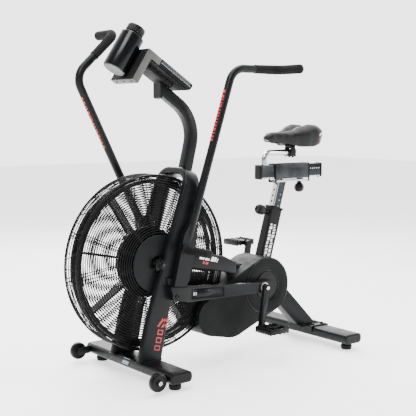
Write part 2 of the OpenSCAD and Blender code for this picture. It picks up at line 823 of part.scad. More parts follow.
// An angled shelf, with a box under the console that sits on the mast's head.
module console_bracket() color(grey) {
  console_frame() {
    translate([0, -console_half, -shelf_t]) cube([70, 2 * console_half, shelf_t]);
    translate([0, -console_half, -shelf_drop]) cube([shelf_t, 2 * console_half, shelf_drop - shelf_t]);
  }
  difference() {
    console_frame() translate([shelf_t, -40, -50]) cube([157, 80, 50 - console_t]);
    placed() slab(-mast_w / 2, mast_w / 2) mast_outline();
  }
}

module console_body() color(black) console_frame() {
  difference() {
    translate([70 + gap, -console_half, -console_t]) cube([console_len - 70, 2 * console_half, console_t]);
    translate([90, -62, -4]) cube([120, 100, 6]);
    for (y = [48, 62]) translate([150, y, -6]) cylinder(r = 5.3, h = 8);
  }
  translate([console_len - 30, -50, 0]) cube([24, 100, 3]);
  translate([console_len - 12, -50, 3]) cube([6, 100, 9]);
}

module console_screen() color(black) console_frame()
  translate([90 + gap, -62 + gap, -4]) cube([120 - 2 * gap, 100 - 2 * gap, 3.5]);

module button(y) color(grey) console_frame() translate([150, y, -3.5]) cylinder(r = 5, h = 6);

module button_start() button(48);

module button_mode() button(62);

module bottle_cup() color(black) console_frame()
  translate([-cup_r - 0.5, 0, -shelf_drop + 12]) difference() {
    union() {
      cylinder(r = cup_r, h = cup_len);
      translate([cup_r - 8, -16, 20]) cube([8.5, 32, 70]);
    }
    translate([0, 0, 3]) cylinder(r = cup_r - 2.5, h = cup_len);
  }

module bottle() color(black) console_frame() translate([-cup_r - 0.5, 0, -shelf_drop + 15]) {
  cylinder(r = bottle_r, h = 132);
  translate([0, 0, 132]) cylinder(r = 28, h = 10);
  translate([0, 0, 142]) cylinder(r = 36, h = 46);
  translate([0, 0, 188]) cylinder(r = 12, h = 10);
}

front_stabiliser();
rear_stabiliser();
stabiliser_caps();
rubber_feet();
wheel_brackets();
transport_wheel_left();
transport_wheel_right();
fork_leg_left();
fork_leg_right();
fork_arch();
mast();
upper_stays();
main_spine();
seat_tube();
seat_collar();
rear_strut();
casing_left();
casing_right();
casing_screws();
shaft_bearings();
belt_guard();
grille_left();
grille_right();
grille_rim();
fan_axle();
axle_brackets();
fan_rotor();
fan_pulley();
jackshaft();
drive_belt();
fan_belt();
crank_shaft();
crank_pulley();
crank_left();
crank_right();
pedal_left();
pedal_right();
foot_pegs();
arm_left();
arm_right();
grip_left();
grip_right();
rod_left();
rod_right();
seat_post();
slider_sleeve();
post_knob();
slider_knob();
slider_bar();
saddle_post();
saddle_clamp();
saddle_rails();
saddle_pad();
console_bracket();
console_body();
console_screen();
button_start();
button_mode();
bottle_cup();
bottle();
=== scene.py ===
"""Air bike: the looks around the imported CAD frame. Metres, +Z up, the rider faces -X, left is -Y."""
import bpy
import bmesh
import json
import math
import random
from mathutils import Matrix, Vector


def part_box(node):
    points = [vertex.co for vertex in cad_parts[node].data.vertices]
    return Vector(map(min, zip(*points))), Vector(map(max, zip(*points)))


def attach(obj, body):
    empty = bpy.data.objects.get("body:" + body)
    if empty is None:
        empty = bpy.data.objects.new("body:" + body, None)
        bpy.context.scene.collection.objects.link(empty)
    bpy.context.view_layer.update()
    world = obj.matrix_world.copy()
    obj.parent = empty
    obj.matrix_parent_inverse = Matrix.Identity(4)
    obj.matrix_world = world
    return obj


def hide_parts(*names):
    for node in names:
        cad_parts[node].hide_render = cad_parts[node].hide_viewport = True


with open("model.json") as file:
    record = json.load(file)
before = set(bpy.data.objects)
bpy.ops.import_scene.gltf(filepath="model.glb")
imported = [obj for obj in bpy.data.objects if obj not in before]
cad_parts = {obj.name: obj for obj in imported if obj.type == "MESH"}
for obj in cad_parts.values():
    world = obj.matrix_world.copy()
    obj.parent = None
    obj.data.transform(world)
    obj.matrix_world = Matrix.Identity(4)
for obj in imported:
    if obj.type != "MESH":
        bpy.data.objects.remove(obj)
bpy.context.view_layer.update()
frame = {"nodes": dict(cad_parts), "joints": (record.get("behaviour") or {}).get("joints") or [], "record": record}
NODES = frame["nodes"]
JOINTS = {joint["name"]: joint for joint in frame["joints"]}
SLOTS = {part["node"]: part["material_slot"] for part in frame["record"]["subparts"]}
BODY = {node: body for body, nodes in frame["record"]["behaviour"]["bodies"].items() for node in nodes}
SIDES = {"left": -1, "right": 1}
random.seed(7)


def joint_at(name):
    return Vector(JOINTS[name]["pos_m"])


FAN = joint_at("fan_spin")
CRANK = joint_at("crank_spin")
PIVOT = joint_at("left_arm_swing")
CAGE_R = (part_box("grille_rim")[1].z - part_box("grille_rim")[0].z) / 2
CAGE_HALF = 0.042
PLATE_R = 0.112
RING_PITCH = 0.0092
MAST_BEND_TOP = 1.17
CASING_HALF = 0.080
ARM_Y = 0.125
ROD_FACE = 0.139
CRANK_PIN_R = 0.0656
CRANK_PIN_DEGREES = {"left": 172, "right": -8}

# ---- materials ----


def shader(name, colour, rough, metal=0.0, coat=0.0, specular=0.5):
    """A Principled material and the handles that its procedural detail is linked to."""
    material = bpy.data.materials.new(name)
    material.use_nodes = True
    tree = material.node_tree
    principled = tree.nodes["Principled BSDF"]
    principled.inputs["Base Color"].default_value = (*colour, 1)
    principled.inputs["Roughness"].default_value = rough
    principled.inputs["Metallic"].default_value = metal
    principled.inputs["Coat Weight"].default_value = coat
    principled.inputs["Specular IOR Level"].default_value = specular
    return material, tree, principled


def noise(tree, scale, detail=3.0, stretch=(1, 1, 1)):
    """Object-space noise, stretched for brushed or drawn surfaces."""
    place = tree.nodes.new("ShaderNodeTexCoord")
    mapping = tree.nodes.new("ShaderNodeMapping")
    mapping.inputs["Scale"].default_value = stretch
    texture = tree.nodes.new("ShaderNodeTexNoise")
    texture.inputs["Scale"].default_value = scale
    texture.inputs["Detail"].default_value = detail
    tree.links.new(place.outputs["Object"], mapping.inputs["Vector"])
    tree.links.new(mapping.outputs["Vector"], texture.inputs["Vector"])
    return texture.outputs["Fac"]


def ramp(tree, source, low, high, start=0.35, end=0.65):
    """Maps a texture to a range of greys or colours."""
    node = tree.nodes.new("ShaderNodeValToRGB")
    node.color_ramp.elements[0].position = start
    node.color_ramp.elements[1].position = end
    node.color_ramp.elements[0].color = low if isinstance(low, tuple) else (low, low, low, 1)
    node.color_ramp.elements[1].color = high if isinstance(high, tuple) else (high, high, high, 1)
    tree.links.new(source, node.inputs["Fac"])
    return node.outputs["Color"]


def add_bump(tree, principled, height, strength, distance=0.001):
    node = tree.nodes.new("ShaderNodeBump")
    node.inputs["Strength"].default_value = strength
    node.inputs["Distance"].default_value = distance
    tree.links.new(height, node.inputs["Height"])
    tree.links.new(node.outputs["Normal"], principled.inputs["Normal"])


def finish_material(name, colour, rough, metal=0.0, coat=0.0, spread=0.25, rough_spread=0.06,
                    grain=900, bump=0.15, stretch=(1, 1, 1), specular=0.5, patch=9):
    """A surface with broad colour patches, a varied gloss and a fine grain."""
    material, tree, principled = shader(name, colour, rough, metal, coat, specular)
    low = tuple(c * (1 - spread) for c in colour) + (1,)
    high = tuple(min(1, c * (1 + spread)) for c in colour) + (1,)
    broad = noise(tree, patch, 4)
    tree.links.new(ramp(tree, broad, low, high), principled.inputs["Base Color"])
    fine = noise(tree, grain, 2, stretch)
    gloss = noise(tree, patch * 4, 5, stretch)
    tree.links.new(ramp(tree, gloss, rough - rough_spread, rough + rough_spread), principled.inputs["Roughness"])
    add_bump(tree, principled, fine, bump, 0.0006)
    return material


def vinyl_material():
    """Saddle cover: a fine cell grain with a soft gloss."""
    material, tree, principled = shader("saddle_vinyl", (0.008, 0.008, 0.009), 0.38, specular=0.22)
    place = tree.nodes.new("ShaderNodeTexCoord")
    cells = tree.nodes.new("ShaderNodeTexVoronoi")
    cells.inputs["Scale"].default_value = 620
    cells.feature = "DISTANCE_TO_EDGE"
    tree.links.new(place.outputs["Object"], cells.inputs["Vector"])
    worn = noise(tree, 14, 4)
    tree.links.new(ramp(tree, worn, 0.30, 0.44), principled.inputs["Roughness"])
    tree.links.new(ramp(tree, worn, (0.0045, 0.0045, 0.0048, 1), (0.008, 0.008, 0.0085, 1)),
                   principled.inputs["Base Color"])
    add_bump(tree, principled, ramp(tree, cells.outputs["Distance"], 0.0, 1.0, 0.0, 0.12), 0.25, 0.0004)
    return material


M = {
    "charcoal_paint": finish_material("charcoal_powder_coat", (0.0042, 0.0046, 0.0052), 0.36, spread=0.12,
                                      grain=1500, bump=0.08, specular=0.15),
    "black_plastic": finish_material("black_moulded_plastic", (0.0032, 0.0032, 0.0036), 0.36, grain=1100, bump=0.10,
                                     specular=0.15),
    "casing": finish_material("casing_grained_plastic", (0.0062, 0.0066, 0.0070), 0.52, grain=1800, bump=0.16,
                              spread=0.10, specular=0.08),
    "black_rubber": finish_material("black_rubber", (0.007, 0.007, 0.007), 0.60, grain=700, bump=0.2, specular=0.14),
    "black_wire": finish_material("black_coated_wire", (0.003, 0.003, 0.0034), 0.34, grain=400, bump=0.04,
                                  specular=0.14),
    "bright_steel": finish_material("polished_steel", (0.66, 0.67, 0.69), 0.12, metal=1.0, spread=0.05,
                                    rough_spread=0.05, grain=300, bump=0.02, stretch=(1, 1, 0.1)),
    "grey_steel": finish_material("dark_brushed_steel", (0.027, 0.030, 0.033), 0.30, metal=0.70, spread=0.35,
                                  rough_spread=0.10, grain=500, bump=0.06, stretch=(0.08, 1, 1), patch=22,
                                  specular=0.4),
    "foam": finish_material("grip_foam", (0.0075, 0.0075, 0.008), 0.78, grain=1400, bump=0.3, spread=0.15,
                            specular=0.1),
    "vinyl": vinyl_material(),
    "screen": finish_material("console_glass", (0.006, 0.007, 0.009), 0.10, coat=0.4, spread=0.1,
                              rough_spread=0.02, grain=60, bump=0.0),
    "gloss_black": finish_material("gloss_black_plastic", (0.0015, 0.002, 0.0025), 0.22, specular=0.22, spread=0.2,
                                   rough_spread=0.03, grain=200, bump=0.01),
    "plate": finish_material("hub_plate_paint", (0.0062, 0.0068, 0.0072), 0.42, grain=1500, bump=0.08, spread=0.08,
                             specular=0.12),
    "red_print": finish_material("red_print", (0.42, 0.012, 0.010), 0.45, grain=900, bump=0.05, spread=0.1),
    "white_print": finish_material("white_print", (0.85, 0.85, 0.85), 0.45, grain=900, bump=0.05, spread=0.04),
    "label": finish_material("pale_label", (0.30, 0.35, 0.38), 0.35, metal=0.3, grain=600, bump=0.03, spread=0.1),
    "bronze": finish_material("sintered_bush", (0.46, 0.42, 0.37), 0.28, metal=0.9, grain=500, bump=0.05),
    "bracket": finish_material("bracket_grey_steel", (0.070, 0.070, 0.068), 0.46, metal=0.3, grain=800, bump=0.08,
                               spread=0.15),
    "trim_grey": finish_material("ribbed_grey_plastic", (0.030, 0.030, 0.030), 0.42, grain=900, bump=0.1, spread=0.2),
    "spout": finish_material("clear_spout", (0.72, 0.80, 0.83), 0.12, coat=0.5, spread=0.04, bump=0.0),
    "dark_red": finish_material("dark_red_vinyl", (0.13, 0.008, 0.010), 0.42, grain=1200, bump=0.08, spread=0.15),
}

for node, obj in NODES.items():
    obj.data.materials.clear()
    obj.data.materials.append(M[SLOTS[node]])

# ---- geometry helpers ----


def add_piece(name, bm, material, body, slot=None, replaced=(), sharp=32):
    """Turns a bmesh into a shaded piece that rides on a body. The slot defaults to the material's name but is not
    used.
    """
    bmesh.ops.recalc_face_normals(bm, faces=bm.faces)
    mesh = bpy.data.meshes.new(name)
    bm.to_mesh(mesh)
    bm.free()
    mesh.materials.append(M[material])
    for polygon in mesh.polygons:
        polygon.use_smooth = True
    mesh.set_sharp_from_angle(angle=math.radians(sharp))
    obj = bpy.data.objects.new(name, mesh)
    bpy.context.scene.collection.objects.link(obj)
    slot = slot or material
    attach(obj, body)
    if replaced:
        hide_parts(*replaced)
    return obj


def bevel(bm, edges, width, segments=3):
    bmesh.ops.bevel(bm, geom=edges, offset=width, segments=segments, profile=0.5, affect="EDGES",
                    clamp_overlap=False)


def corners(bm, angle=40):
    return [e for e in bm.edges if len(e.link_faces) == 2 and e.calc_face_angle(0) > math.radians(angle)]


def softened(node, width, material=None, segments=3, pick=None, sharp=32, shortest=2.2):
    """A CAD node with its outer edges rounded. Edges under shortest times the width stay as they are."""
    bm = bmesh.new()
    bm.from_mesh(NODES[node].data)
    bmesh.ops.remove_doubles(bm, verts=bm.verts, dist=2e-5)
    bmesh.ops.dissolve_limit(bm, angle_limit=math.radians(0.4), verts=bm.verts, edges=bm.edges)
    pick = pick or (lambda a, b: True)
    edges = [
        e for e in bm.edges
        if len(e.link_faces) == 2 and e.is_convex and e.calc_face_angle(0) > math.radians(33)
        and e.calc_length() > shortest * width and pick(e.verts[0].co, e.verts[1].co)
    ]
    bevel(bm, edges, width, segments)
    slot = SLOTS[node]
    return add_piece("soft_" + node, bm, material or slot, BODY[node], slot, (node,), sharp)


def join(bm, part, matrix=None):
    """Adds a finished part to bm, moved by the matrix."""
    if matrix is not None:
        bmesh.ops.transform(part, matrix=matrix, verts=part.verts)
    mesh = bpy.data.meshes.new("part")
    part.to_mesh(mesh)
    part.free()
    bm.from_mesh(mesh)
    bpy.data.meshes.remove(mesh)


def bore(obj, cutter):
    """Cuts the cutter's shape out of a piece."""
    mesh = bpy.data.meshes.new("cutter")
    cutter.to_mesh(mesh)
    cutter.free()
    tool = bpy.data.objects.new("cutter", mesh)
    bpy.context.scene.collection.objects.link(tool)
    modifier = obj.modifiers.new("bore", "BOOLEAN")
    modifier.operation = "DIFFERENCE"
    modifier.solver = "EXACT"
    modifier.object = tool
    bpy.context.view_layer.update()
    cut = bpy.data.meshes.new_from_object(obj.evaluated_get(bpy.context.evaluated_depsgraph_get()))
    obj.modifiers.clear()
    obj.data = cut
    bpy.data.objects.remove(tool)


def frame_at(origin, z_axis, x_axis=(1, 0, 0)):
    """A matrix whose Z axis points along z_axis, with its X axis as near x_axis as it can be."""
    z = Vector(z_axis).normalized()
    x = Vector(x_axis) - z * z.dot(Vector(x_axis))
    if x.length < 1e-4:
        x = Vector((0, 1, 0)) - z * z.y
    x.normalize()
    matrix = Matrix((x, z.cross(x), z)).transposed().to_4x4()
    matrix.translation = Vector(origin)
    return matrix


def moved(x, y, z):
    return Matrix.Translation((x, y, z))


def sideways(point, side):
    """Z runs outward along Y from the centre plane, X stays X."""
    return frame_at((point[0], 0, point[2]), (0, side, 0))


def loft(bm, rings, closed=False, caps=True):
    """Skins a list of rings that have equal numbers of points."""
    loops = [[bm.verts.new(point) for point in ring] for ring in rings]
    count = len(loops[0])
    pairs = list(zip(loops, loops[1:])) + ([(loops[-1], loops[0])] if closed else [])
    for a, b in pairs:
        for i in range(count):
            bm.faces.new((a[i], a[(i + 1) % count], b[(i + 1) % count], b[i]))
    if caps and not closed:
        bm.faces.new(loops[0])
        bm.faces.new(list(reversed(loops[-1])))


def lathe(bm, profile, matrix, steps=40, flute=None):
    """Turns (radius, height) points about the matrix's Z axis. flute varies the radius round the axis."""
    rings = []
    for radius, height in profile:
        ring = []
        for i in range(steps):
            a = 2 * math.pi * i / steps
            r = max(radius, 2e-5) * (flute(a, radius, height) if flute else 1)
            ring.append(matrix @ Vector((r * math.cos(a), r * math.sin(a), height)))
        rings.append(ring)
    loft(bm, rings, closed=min(profile[0][0], profile[-1][0]) > 0)


def rod(bm, a, b, radius, steps=16, tip=0.0):
    """A straight round bar with small rounded ends."""
    a, b = Vector(a), Vector(b)
    length = (b - a).length
    tip = min(tip or radius * 0.15, radius)
    lathe(bm, [(0, 0), (radius - tip, 0), (radius - tip * 0.3, tip * 0.3), (radius, tip), (radius, length - tip),
               (radius - tip * 0.3, length - tip * 0.3), (radius - tip, length), (0, length)],
          frame_at(a, b - a), steps)


def ring_wire(bm, centre, radius, y, wire, steps=120, sides=8):
    """A round wire bent to a circle about the Y axis."""
    rings = []
    for i in range(steps):
        a = 2 * math.pi * i / steps
        out = Vector((math.cos(a), 0, math.sin(a)))
        middle = Vector((centre[0], y, centre[2])) + out * radius
        rings.append([
            middle + out * wire * math.cos(b) + Vector((0, 1, 0)) * wire * math.sin(b)
            for b in (2 * math.pi * k / sides for k in range(sides))
        ])
    loft(bm, rings, closed=True)


def rounded_rect(half_u, half_v, radius, steps=4):
    """Points of a rounded rectangle, anticlockwise from the +U side."""
    points = []
    for su, sv, start in ((1, 1, 0), (-1, 1, 90), (-1, -1, 180), (1, -1, 270)):
        for i in range(steps + 1):
            a = math.radians(start + 90 * i / steps)
            points.append((su * (half_u - radius) + radius * math.cos(a),
                           sv * (half_v - radius) + radius * math.sin(a)))
    return points


def section(centre, u, v, half_u, half_v, radius, steps=4):
    return [centre + u * a + v * b for a, b in rounded_rect(half_u, half_v, radius, steps)]


def cross_ring(x, z, half_y, half_z, radius, steps):
    """A rounded rectangle across the bike, centred at x and z."""
    return section(Vector((x, 0, z)), Vector((0, 1, 0)), Vector((0, 0, 1)), half_y, half_z, radius, steps)


def block(bm, matrix, size, radius, segments=3):
    """A box of that size centred on the matrix, with rounded edges."""
    part = bmesh.new()
    bmesh.ops.create_cube(part, size=1)
    bmesh.ops.scale(part, vec=size, verts=part.verts)
    bevel(part, part.edges[:], radius, segments)
    join(bm, part, matrix)


def prism(bm, outline, y0, y1, radius=0.0, segments=3, matrix=None):
    """An XZ outline extruded from y0 to y1, with its rim edges rounded."""
    part = bmesh.new()
    low = [part.verts.new((x, y0, z)) for x, z in outline]
    high = [part.verts.new((x, y1, z)) for x, z in outline]
    part.faces.new(low)
    part.faces.new(list(reversed(high)))
    for i in range(len(outline)):
        j = (i + 1) % len(outline)
        part.faces.new((low[i], high[i], high[j], low[j]))
    if radius:
        bevel(part, corners(part, 20), radius, segments)
    join(bm, part, matrix)


def bent_path(points, radii, steps=10):
    """A polyline with a round bend at each inner corner."""
    points = [Vector(p) for p in points]
    path = [points[0]]
    for before, corner, after, r in zip(points, points[1:], points[2:], radii):
        u, v = (corner - before).normalized(), (after - corner).normalized()
        turn = u.angle(v)
        inward = (v - u * u.dot(v)).normalized()
        centre = corner - u * r * math.tan(turn / 2) + inward * r
        for i in range(steps + 1):
            a = turn * i / steps
            path.append(centre - inward * r * math.cos(a) + u * r * math.sin(a))
    path.append(points[-1])
    return path


def tube(bm, path, radius, sides=20, size=None, round_end=False):
    """A round tube along a path. size(i, t) may give its two half widths at each point."""
    rings = []
    normal = None
    last = len(path) - 1
    for i, point in enumerate(path):
        way = (path[min(i + 1, last)] - path[max(i - 1, 0)]).normalized()
        if normal is None:
            normal = Vector((0, 1, 0)) - way * way.y
        normal = (normal - way * way.dot(normal)).normalized()
        other = way.cross(normal)
        a, b = size(i, i / last) if size else (radius, radius)
        rings.append([
            point + normal * a * math.cos(t) + other * b * math.sin(t)
            for t in (2 * math.pi * k / sides for k in range(sides))
        ])
    if round_end:
        way = (path[-1] - path[-2]).normalized()
        rim = rings[-1]
        for t in (0.35, 0.65, 0.9, 0.985):
            scale = math.sqrt(1 - t * t)
            rings.append([path[-1] + (p - path[-1]) * scale + way * radius * 0.6 * t for p in rim])
    loft(bm, rings)


def hex_bolt(bm, matrix, radius, height, washer=True):
    """A hexagon head on a washer, standing on the matrix's XY plane."""
    start = 0.0
    if washer:
        lathe(bm, [(0, 0), (radius * 1.35, 0), (radius * 1.35, height * 0.2), (0, height * 0.22)], matrix, 28)
        start = height * 0.2
    lathe(bm, [(0, start), (radius, start), (radius, height * 0.85), (radius * 0.88, height), (0, height)], matrix, 6)


def cap_screw(bm, matrix, radius, height):
    """A round head with a recessed socket."""
    lathe(bm, [(0, 0), (radius, 0), (radius, height * 0.7), (radius * 0.85, height), (radius * 0.5, height),
               (radius * 0.45, height * 0.4), (0, height * 0.4)], matrix, 24)


def polar(centre, radius, degrees, y=0.0):
    a = math.radians(degrees)
    return Vector((centre[0] + radius * math.cos(a), y, centre[2] + radius * math.sin(a)))


# ---- camera, light and floor ----

YAW, PITCH = math.radians(37.86), math.radians(-5.77)
CAMERA_AT = (-2.2509, -2.9032, 1.0)


def make_stage():
    data = bpy.data.cameras.new("camera")
    data.lens = 78.4
    data.sensor_width = 36
    camera = bpy.data.objects.new("camera", data)
    camera.location = CAMERA_AT
    camera.rotation_euler = (math.radians(90) + PITCH, 0, -YAW)
    bpy.context.scene.collection.objects.link(camera)
    bpy.context.scene.camera = camera

    bm = bmesh.new()
    bmesh.ops.create_grid(bm, x_segments=1, y_segments=1, size=14)
    mesh = bpy.data.meshes.new("floor")
    bm.to_mesh(mesh)
    bm.free()
    material, tree, principled = shader("floor_paint", (0.90, 0.90, 0.90), 0.75)
    principled.inputs["Emission Color"].default_value = (1, 1, 1, 1)
    principled.inputs["Emission Strength"].default_value = 1.2
    tree.links.new(ramp(tree, noise(tree, 3, 3), 0.86, 0.90), principled.inputs["Base Color"])
    mesh.materials.append(material)
    floor = bpy.data.objects.new("floor", mesh)
    bpy.context.scene.collection.objects.link(floor)

    make_world()
    for name, place, size, power in (
        ("key", (-2.4, -1.6, 3.6), 1.6, 150), ("fill", (2.9, -2.3, 2.0), 1.2, 60), ("top", (0.0, 0.3, 4.2), 3.0, 270),
        ("back", (1.4, 3.2, 2.6), 2.2, 160),
    ):
        light = bpy.data.lights.new(name, "AREA")
        light.size = size
        light.energy = power
        lamp = bpy.data.objects.new(name, light)
        lamp.location = place
        lamp.rotation_euler = (Vector((0, 0, 0.6)) - Vector(place)).to_track_quat("-Z", "Y").to_euler()
        bpy.context.scene.collection.objects.link(lamp)


def make_world():
    """A white studio that is bright behind the bike and dim on the camera's side."""
    world = bpy.data.worlds.new("studio")
    world.use_nodes = True
    tree = world.node_tree
    background = tree.nodes["Background"]
    place = tree.nodes.new("ShaderNodeTexCoord")
    away = tree.nodes.new("ShaderNodeVectorMath")
    away.operation = "DOT_PRODUCT"
    away.inputs[1].default_value = (math.sin(YAW), math.cos(YAW), 0)
    tree.links.new(place.outputs["Generated"], away.inputs[0])
    level = tree.nodes.new("ShaderNodeMapRange")
    level.interpolation_type = "SMOOTHSTEP"
    for key, value in (("From Min", -0.45), ("From Max", 0.85), ("To Min", 0.42), ("To Max", 3.4)):
        level.inputs[key].default_value = value
    tree.links.new(away.outputs["Value"], level.inputs["Value"])
    tree.links.new(level.outputs["Result"], background.inputs["Strength"])
    background.inputs["Color"].default_value = (1, 1, 1, 1)
    bpy.context.scene.world = world


make_stage()

# ---- anchors, in metres from the front stabiliser's middle ----

FRONT_X = (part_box("front_stabiliser")[0].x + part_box("front_stabiliser")[1].x) / 2 + 0.001
LEAN = math.radians(19.2)
DEPTH_AXIS = Vector((math.cos(LEAN), 0, -math.sin(LEAN)))
RISE_AXIS = Vector((math.sin(LEAN), 0, math.cos(LEAN)))


def at(x, y, z):
    """A point measured along the bike from the front stabiliser."""
    return Vector((FRONT_X + x, y, z))


# ---- stance ----


def make_stabilisers():
    """Flat oval tubes with plastic caps in their ends."""
    for node, end in (("front_stabiliser", "front"), ("rear_stabiliser", "rear")):
        low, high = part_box(node)
        centre_x, centre_z = (low.x + high.x) / 2, (low.z + high.z) / 2
        half_u, half_v = (high.x - low.x) / 2, (high.z - low.z) / 2
        bm = bmesh.new()
        rings = [section(Vector((centre_x, y, centre_z)), Vector((1, 0, 0)), Vector((0, 0, 1)),
                         half_u, half_v, 0.0165, 6) for y in (low.y, high.y)]
        loft(bm, rings)
        add_piece(end + "_base_tube", bm, "charcoal_paint", "frame", "charcoal_paint", (node,))
        caps = bmesh.new()
        for side in (-1, 1):
            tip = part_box("stabiliser_caps")[1].y if end == "front" else high.y + 0.004
            rings = []
            for inset, y in ((0, high.y), (0, tip - 0.0028), (0.0008, tip - 0.0012), (0.0028, tip), (0.012, tip),
                             (0.0128, tip - 0.001)):
                rings.append(section(Vector((centre_x, side * y, centre_z)), Vector((1, 0, 0)), Vector((0, 0, 1)),
                                     half_u - inset, half_v - inset, max(0.0165 - inset, 0.004), 6))
            loft(caps, rings)
        replaced = ("stabiliser_caps",) if end == "front" else ()
        add_piece(end + "_end_caps", caps, "black_plastic", "frame", "black_plastic", replaced)


def make_feet():
    bm = bmesh.new()
    for mount in frame["record"]["mounts"]:
        lathe(bm, [(0, 0), (0.0205, 0), (0.022, 0.0012), (0.0225, 0.004), (0.0238, 0.006), (0.024, 0.017),
                   (0.0228, 0.0195), (0.019, 0.0202), (0.0135, 0.0205), (0.013, 0.030), (0, 0.030)],
              frame_at(mount["pos_m"], (0, 0, 1)), 40)
    add_piece("foot_pads", bm, "black_rubber", "frame", "black_rubber", ("rubber_feet",))


def make_wheels():
    for name, side in SIDES.items():
        hub = joint_at(name + "_wheel_spin")
        low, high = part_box("transport_wheel_" + name)
        radius, half = (high.z - low.z) / 2, (high.y - low.y) / 2
        place = frame_at((hub.x, (low.y + high.y) / 2, hub.z), (0, side, 0))
        bm = bmesh.new()
        profile = [(0.0062, -half), (0.011, -half), (0.013, -half + 0.003), (0.024, -half + 0.003),
                   (0.026, -half), (radius - 0.006, -half), (radius - 0.0015, -half + 0.003), (radius, -half + 0.007)]
        mirrored = [(r, -h) for r, h in reversed(profile)]
        lathe(bm, profile + mirrored, place, 48)
        add_piece("wheel_tyre_" + name, bm, "black_plastic", name + "_wheel", "black_plastic",
                  ("transport_wheel_" + name,))
        bolts = bmesh.new()
        outer = max(abs(low.y), abs(high.y), abs(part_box("wheel_brackets")[0].y))
        cap_screw(bolts, sideways(hub, side) @ moved(0, 0, outer - 0.002), 0.0075, 0.003)
        add_piece("wheel_bolt_" + name, bolts, "bright_steel", "frame")
    softened("wheel_brackets", 0.0015, segments=2)


# ---- fork, mast and frame ----


def make_fork():
    """One bent flat tube: two legs and the arch between them."""
    leg_y, half_t, corner = 0.094, 0.014, 0.0095
    bend_r = 0.060
    front = [(-0.058, 0.072), (-0.014, 0.244), (0.157, 0.735)]
    rear = [(0.046, 0.072), (0.082, 0.244)]
    top = at(front[2][0], 0, front[2][1])
    half_depth = 0.036
    bm = bmesh.new()
    rings = []

    def leg_ring(f, r, side):
        a, b = at(f[0], side * leg_y, f[1]), at(r[0], side * leg_y, r[1])
        return section((a + b) / 2, (b - a).normalized(), Vector((0, side, 0)), (b - a).length / 2, half_t, corner, 5)

    for f, r in zip(front, rear):
        rings.append(leg_ring(f, r, -1))
    for side, angles in ((-1, range(0, 91, 10)), (1, range(90, -1, -10))):
        for degrees in angles:
            a = math.radians(degrees)
            out = Vector((0, side * math.cos(a), 0)) + RISE_AXIS * math.sin(a)
            middle = top + DEPTH_AXIS * half_depth + Vector((0, side * (leg_y - bend_r), 0)) + out * bend_r
            rings.append(section(middle, DEPTH_AXIS, out, half_depth, half_t, corner, 5))
    for f, r in reversed(list(zip(front, rear))):
        rings.append(leg_ring(f, r, 1))
    loft(bm, rings)
    add_piece("fork_tube", bm, "charcoal_paint", "frame", "charcoal_paint",
              ("fork_leg_left", "fork_leg_right", "fork_arch"))
    welds = bmesh.new()
    for side in (-1, 1):
        foot = [at(x, side * leg_y, 0.0725) for x in (-0.060, 0.048)]
        rim = section((foot[0] + foot[1]) / 2, Vector((1, 0, 0)), Vector((0, 1, 0)), 0.055, 0.0155, 0.0105, 5)
        ring = []
        for point in rim:
            ring.append([point + Vector((0, 0, 0.0022)) * math.sin(t) +
                         (point - (foot[0] + foot[1]) / 2).normalized() * 0.0022 * math.cos(t)
                         for t in (2 * math.pi * k / 8 for k in range(8))])
        loft(welds, ring, closed=True)
    add_piece("leg_foot_welds", welds, "charcoal_paint", "frame")


def make_mast_cap():
    low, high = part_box("mast")
    bm = bmesh.new()
    outline = [(low.x - 0.0005, 1.0712), (low.x - 0.0005, 1.1292), (low.x + 0.009, 1.1237), (low.x + 0.009, 1.0667)]
    prism(bm, outline, low.y - 0.0022, high.y + 0.0022, 0.0018)
    add_piece("mast_end_cap", bm, "black_plastic", "frame")


def make_rear_details():
    """The wrap plate under the rear strut, with its bolts."""
    tube_low, tube_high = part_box("rear_stabiliser")
    bm = bmesh.new()
    top = tube_high.z
    plate = [
        (tube_low.x - 0.004, top - 0.022), (tube_low.x - 0.004, top + 0.001), (tube_low.x + 0.004, top + 0.005),
        (tube_high.x - 0.004, top + 0.005), (tube_high.x + 0.004, top + 0.001), (tube_high.x + 0.004, top - 0.022),
        (tube_high.x + 0.0005, top - 0.022), (tube_high.x + 0.0005, top - 0.002), (tube_low.x - 0.0005, top - 0.002),
        (tube_low.x - 0.0005, top - 0.022),
    ]
    prism(bm, plate, -0.075, 0.075, 0.0006, 1)
    add_piece("rear_wrap_plate", bm, "charcoal_paint", "frame")
    bolts = bmesh.new()
    for x in (tube_low.x + 0.02, tube_high.x - 0.02):
        for y in (-0.058, 0.058):
            hex_bolt(bolts, frame_at((x, y, top + 0.005), (0, 0, 1)), 0.0065, 0.006)
    add_piece("rear_plate_bolts", bolts, "black_plastic", "frame")


# ---- fan ----


def dome(plate_y, radius):
    """How far from the centre plane the grille's wires lie at a radius."""
    return CAGE_HALF + (plate_y - CAGE_HALF) * (CAGE_R - radius) / (CAGE_R - PLATE_R)


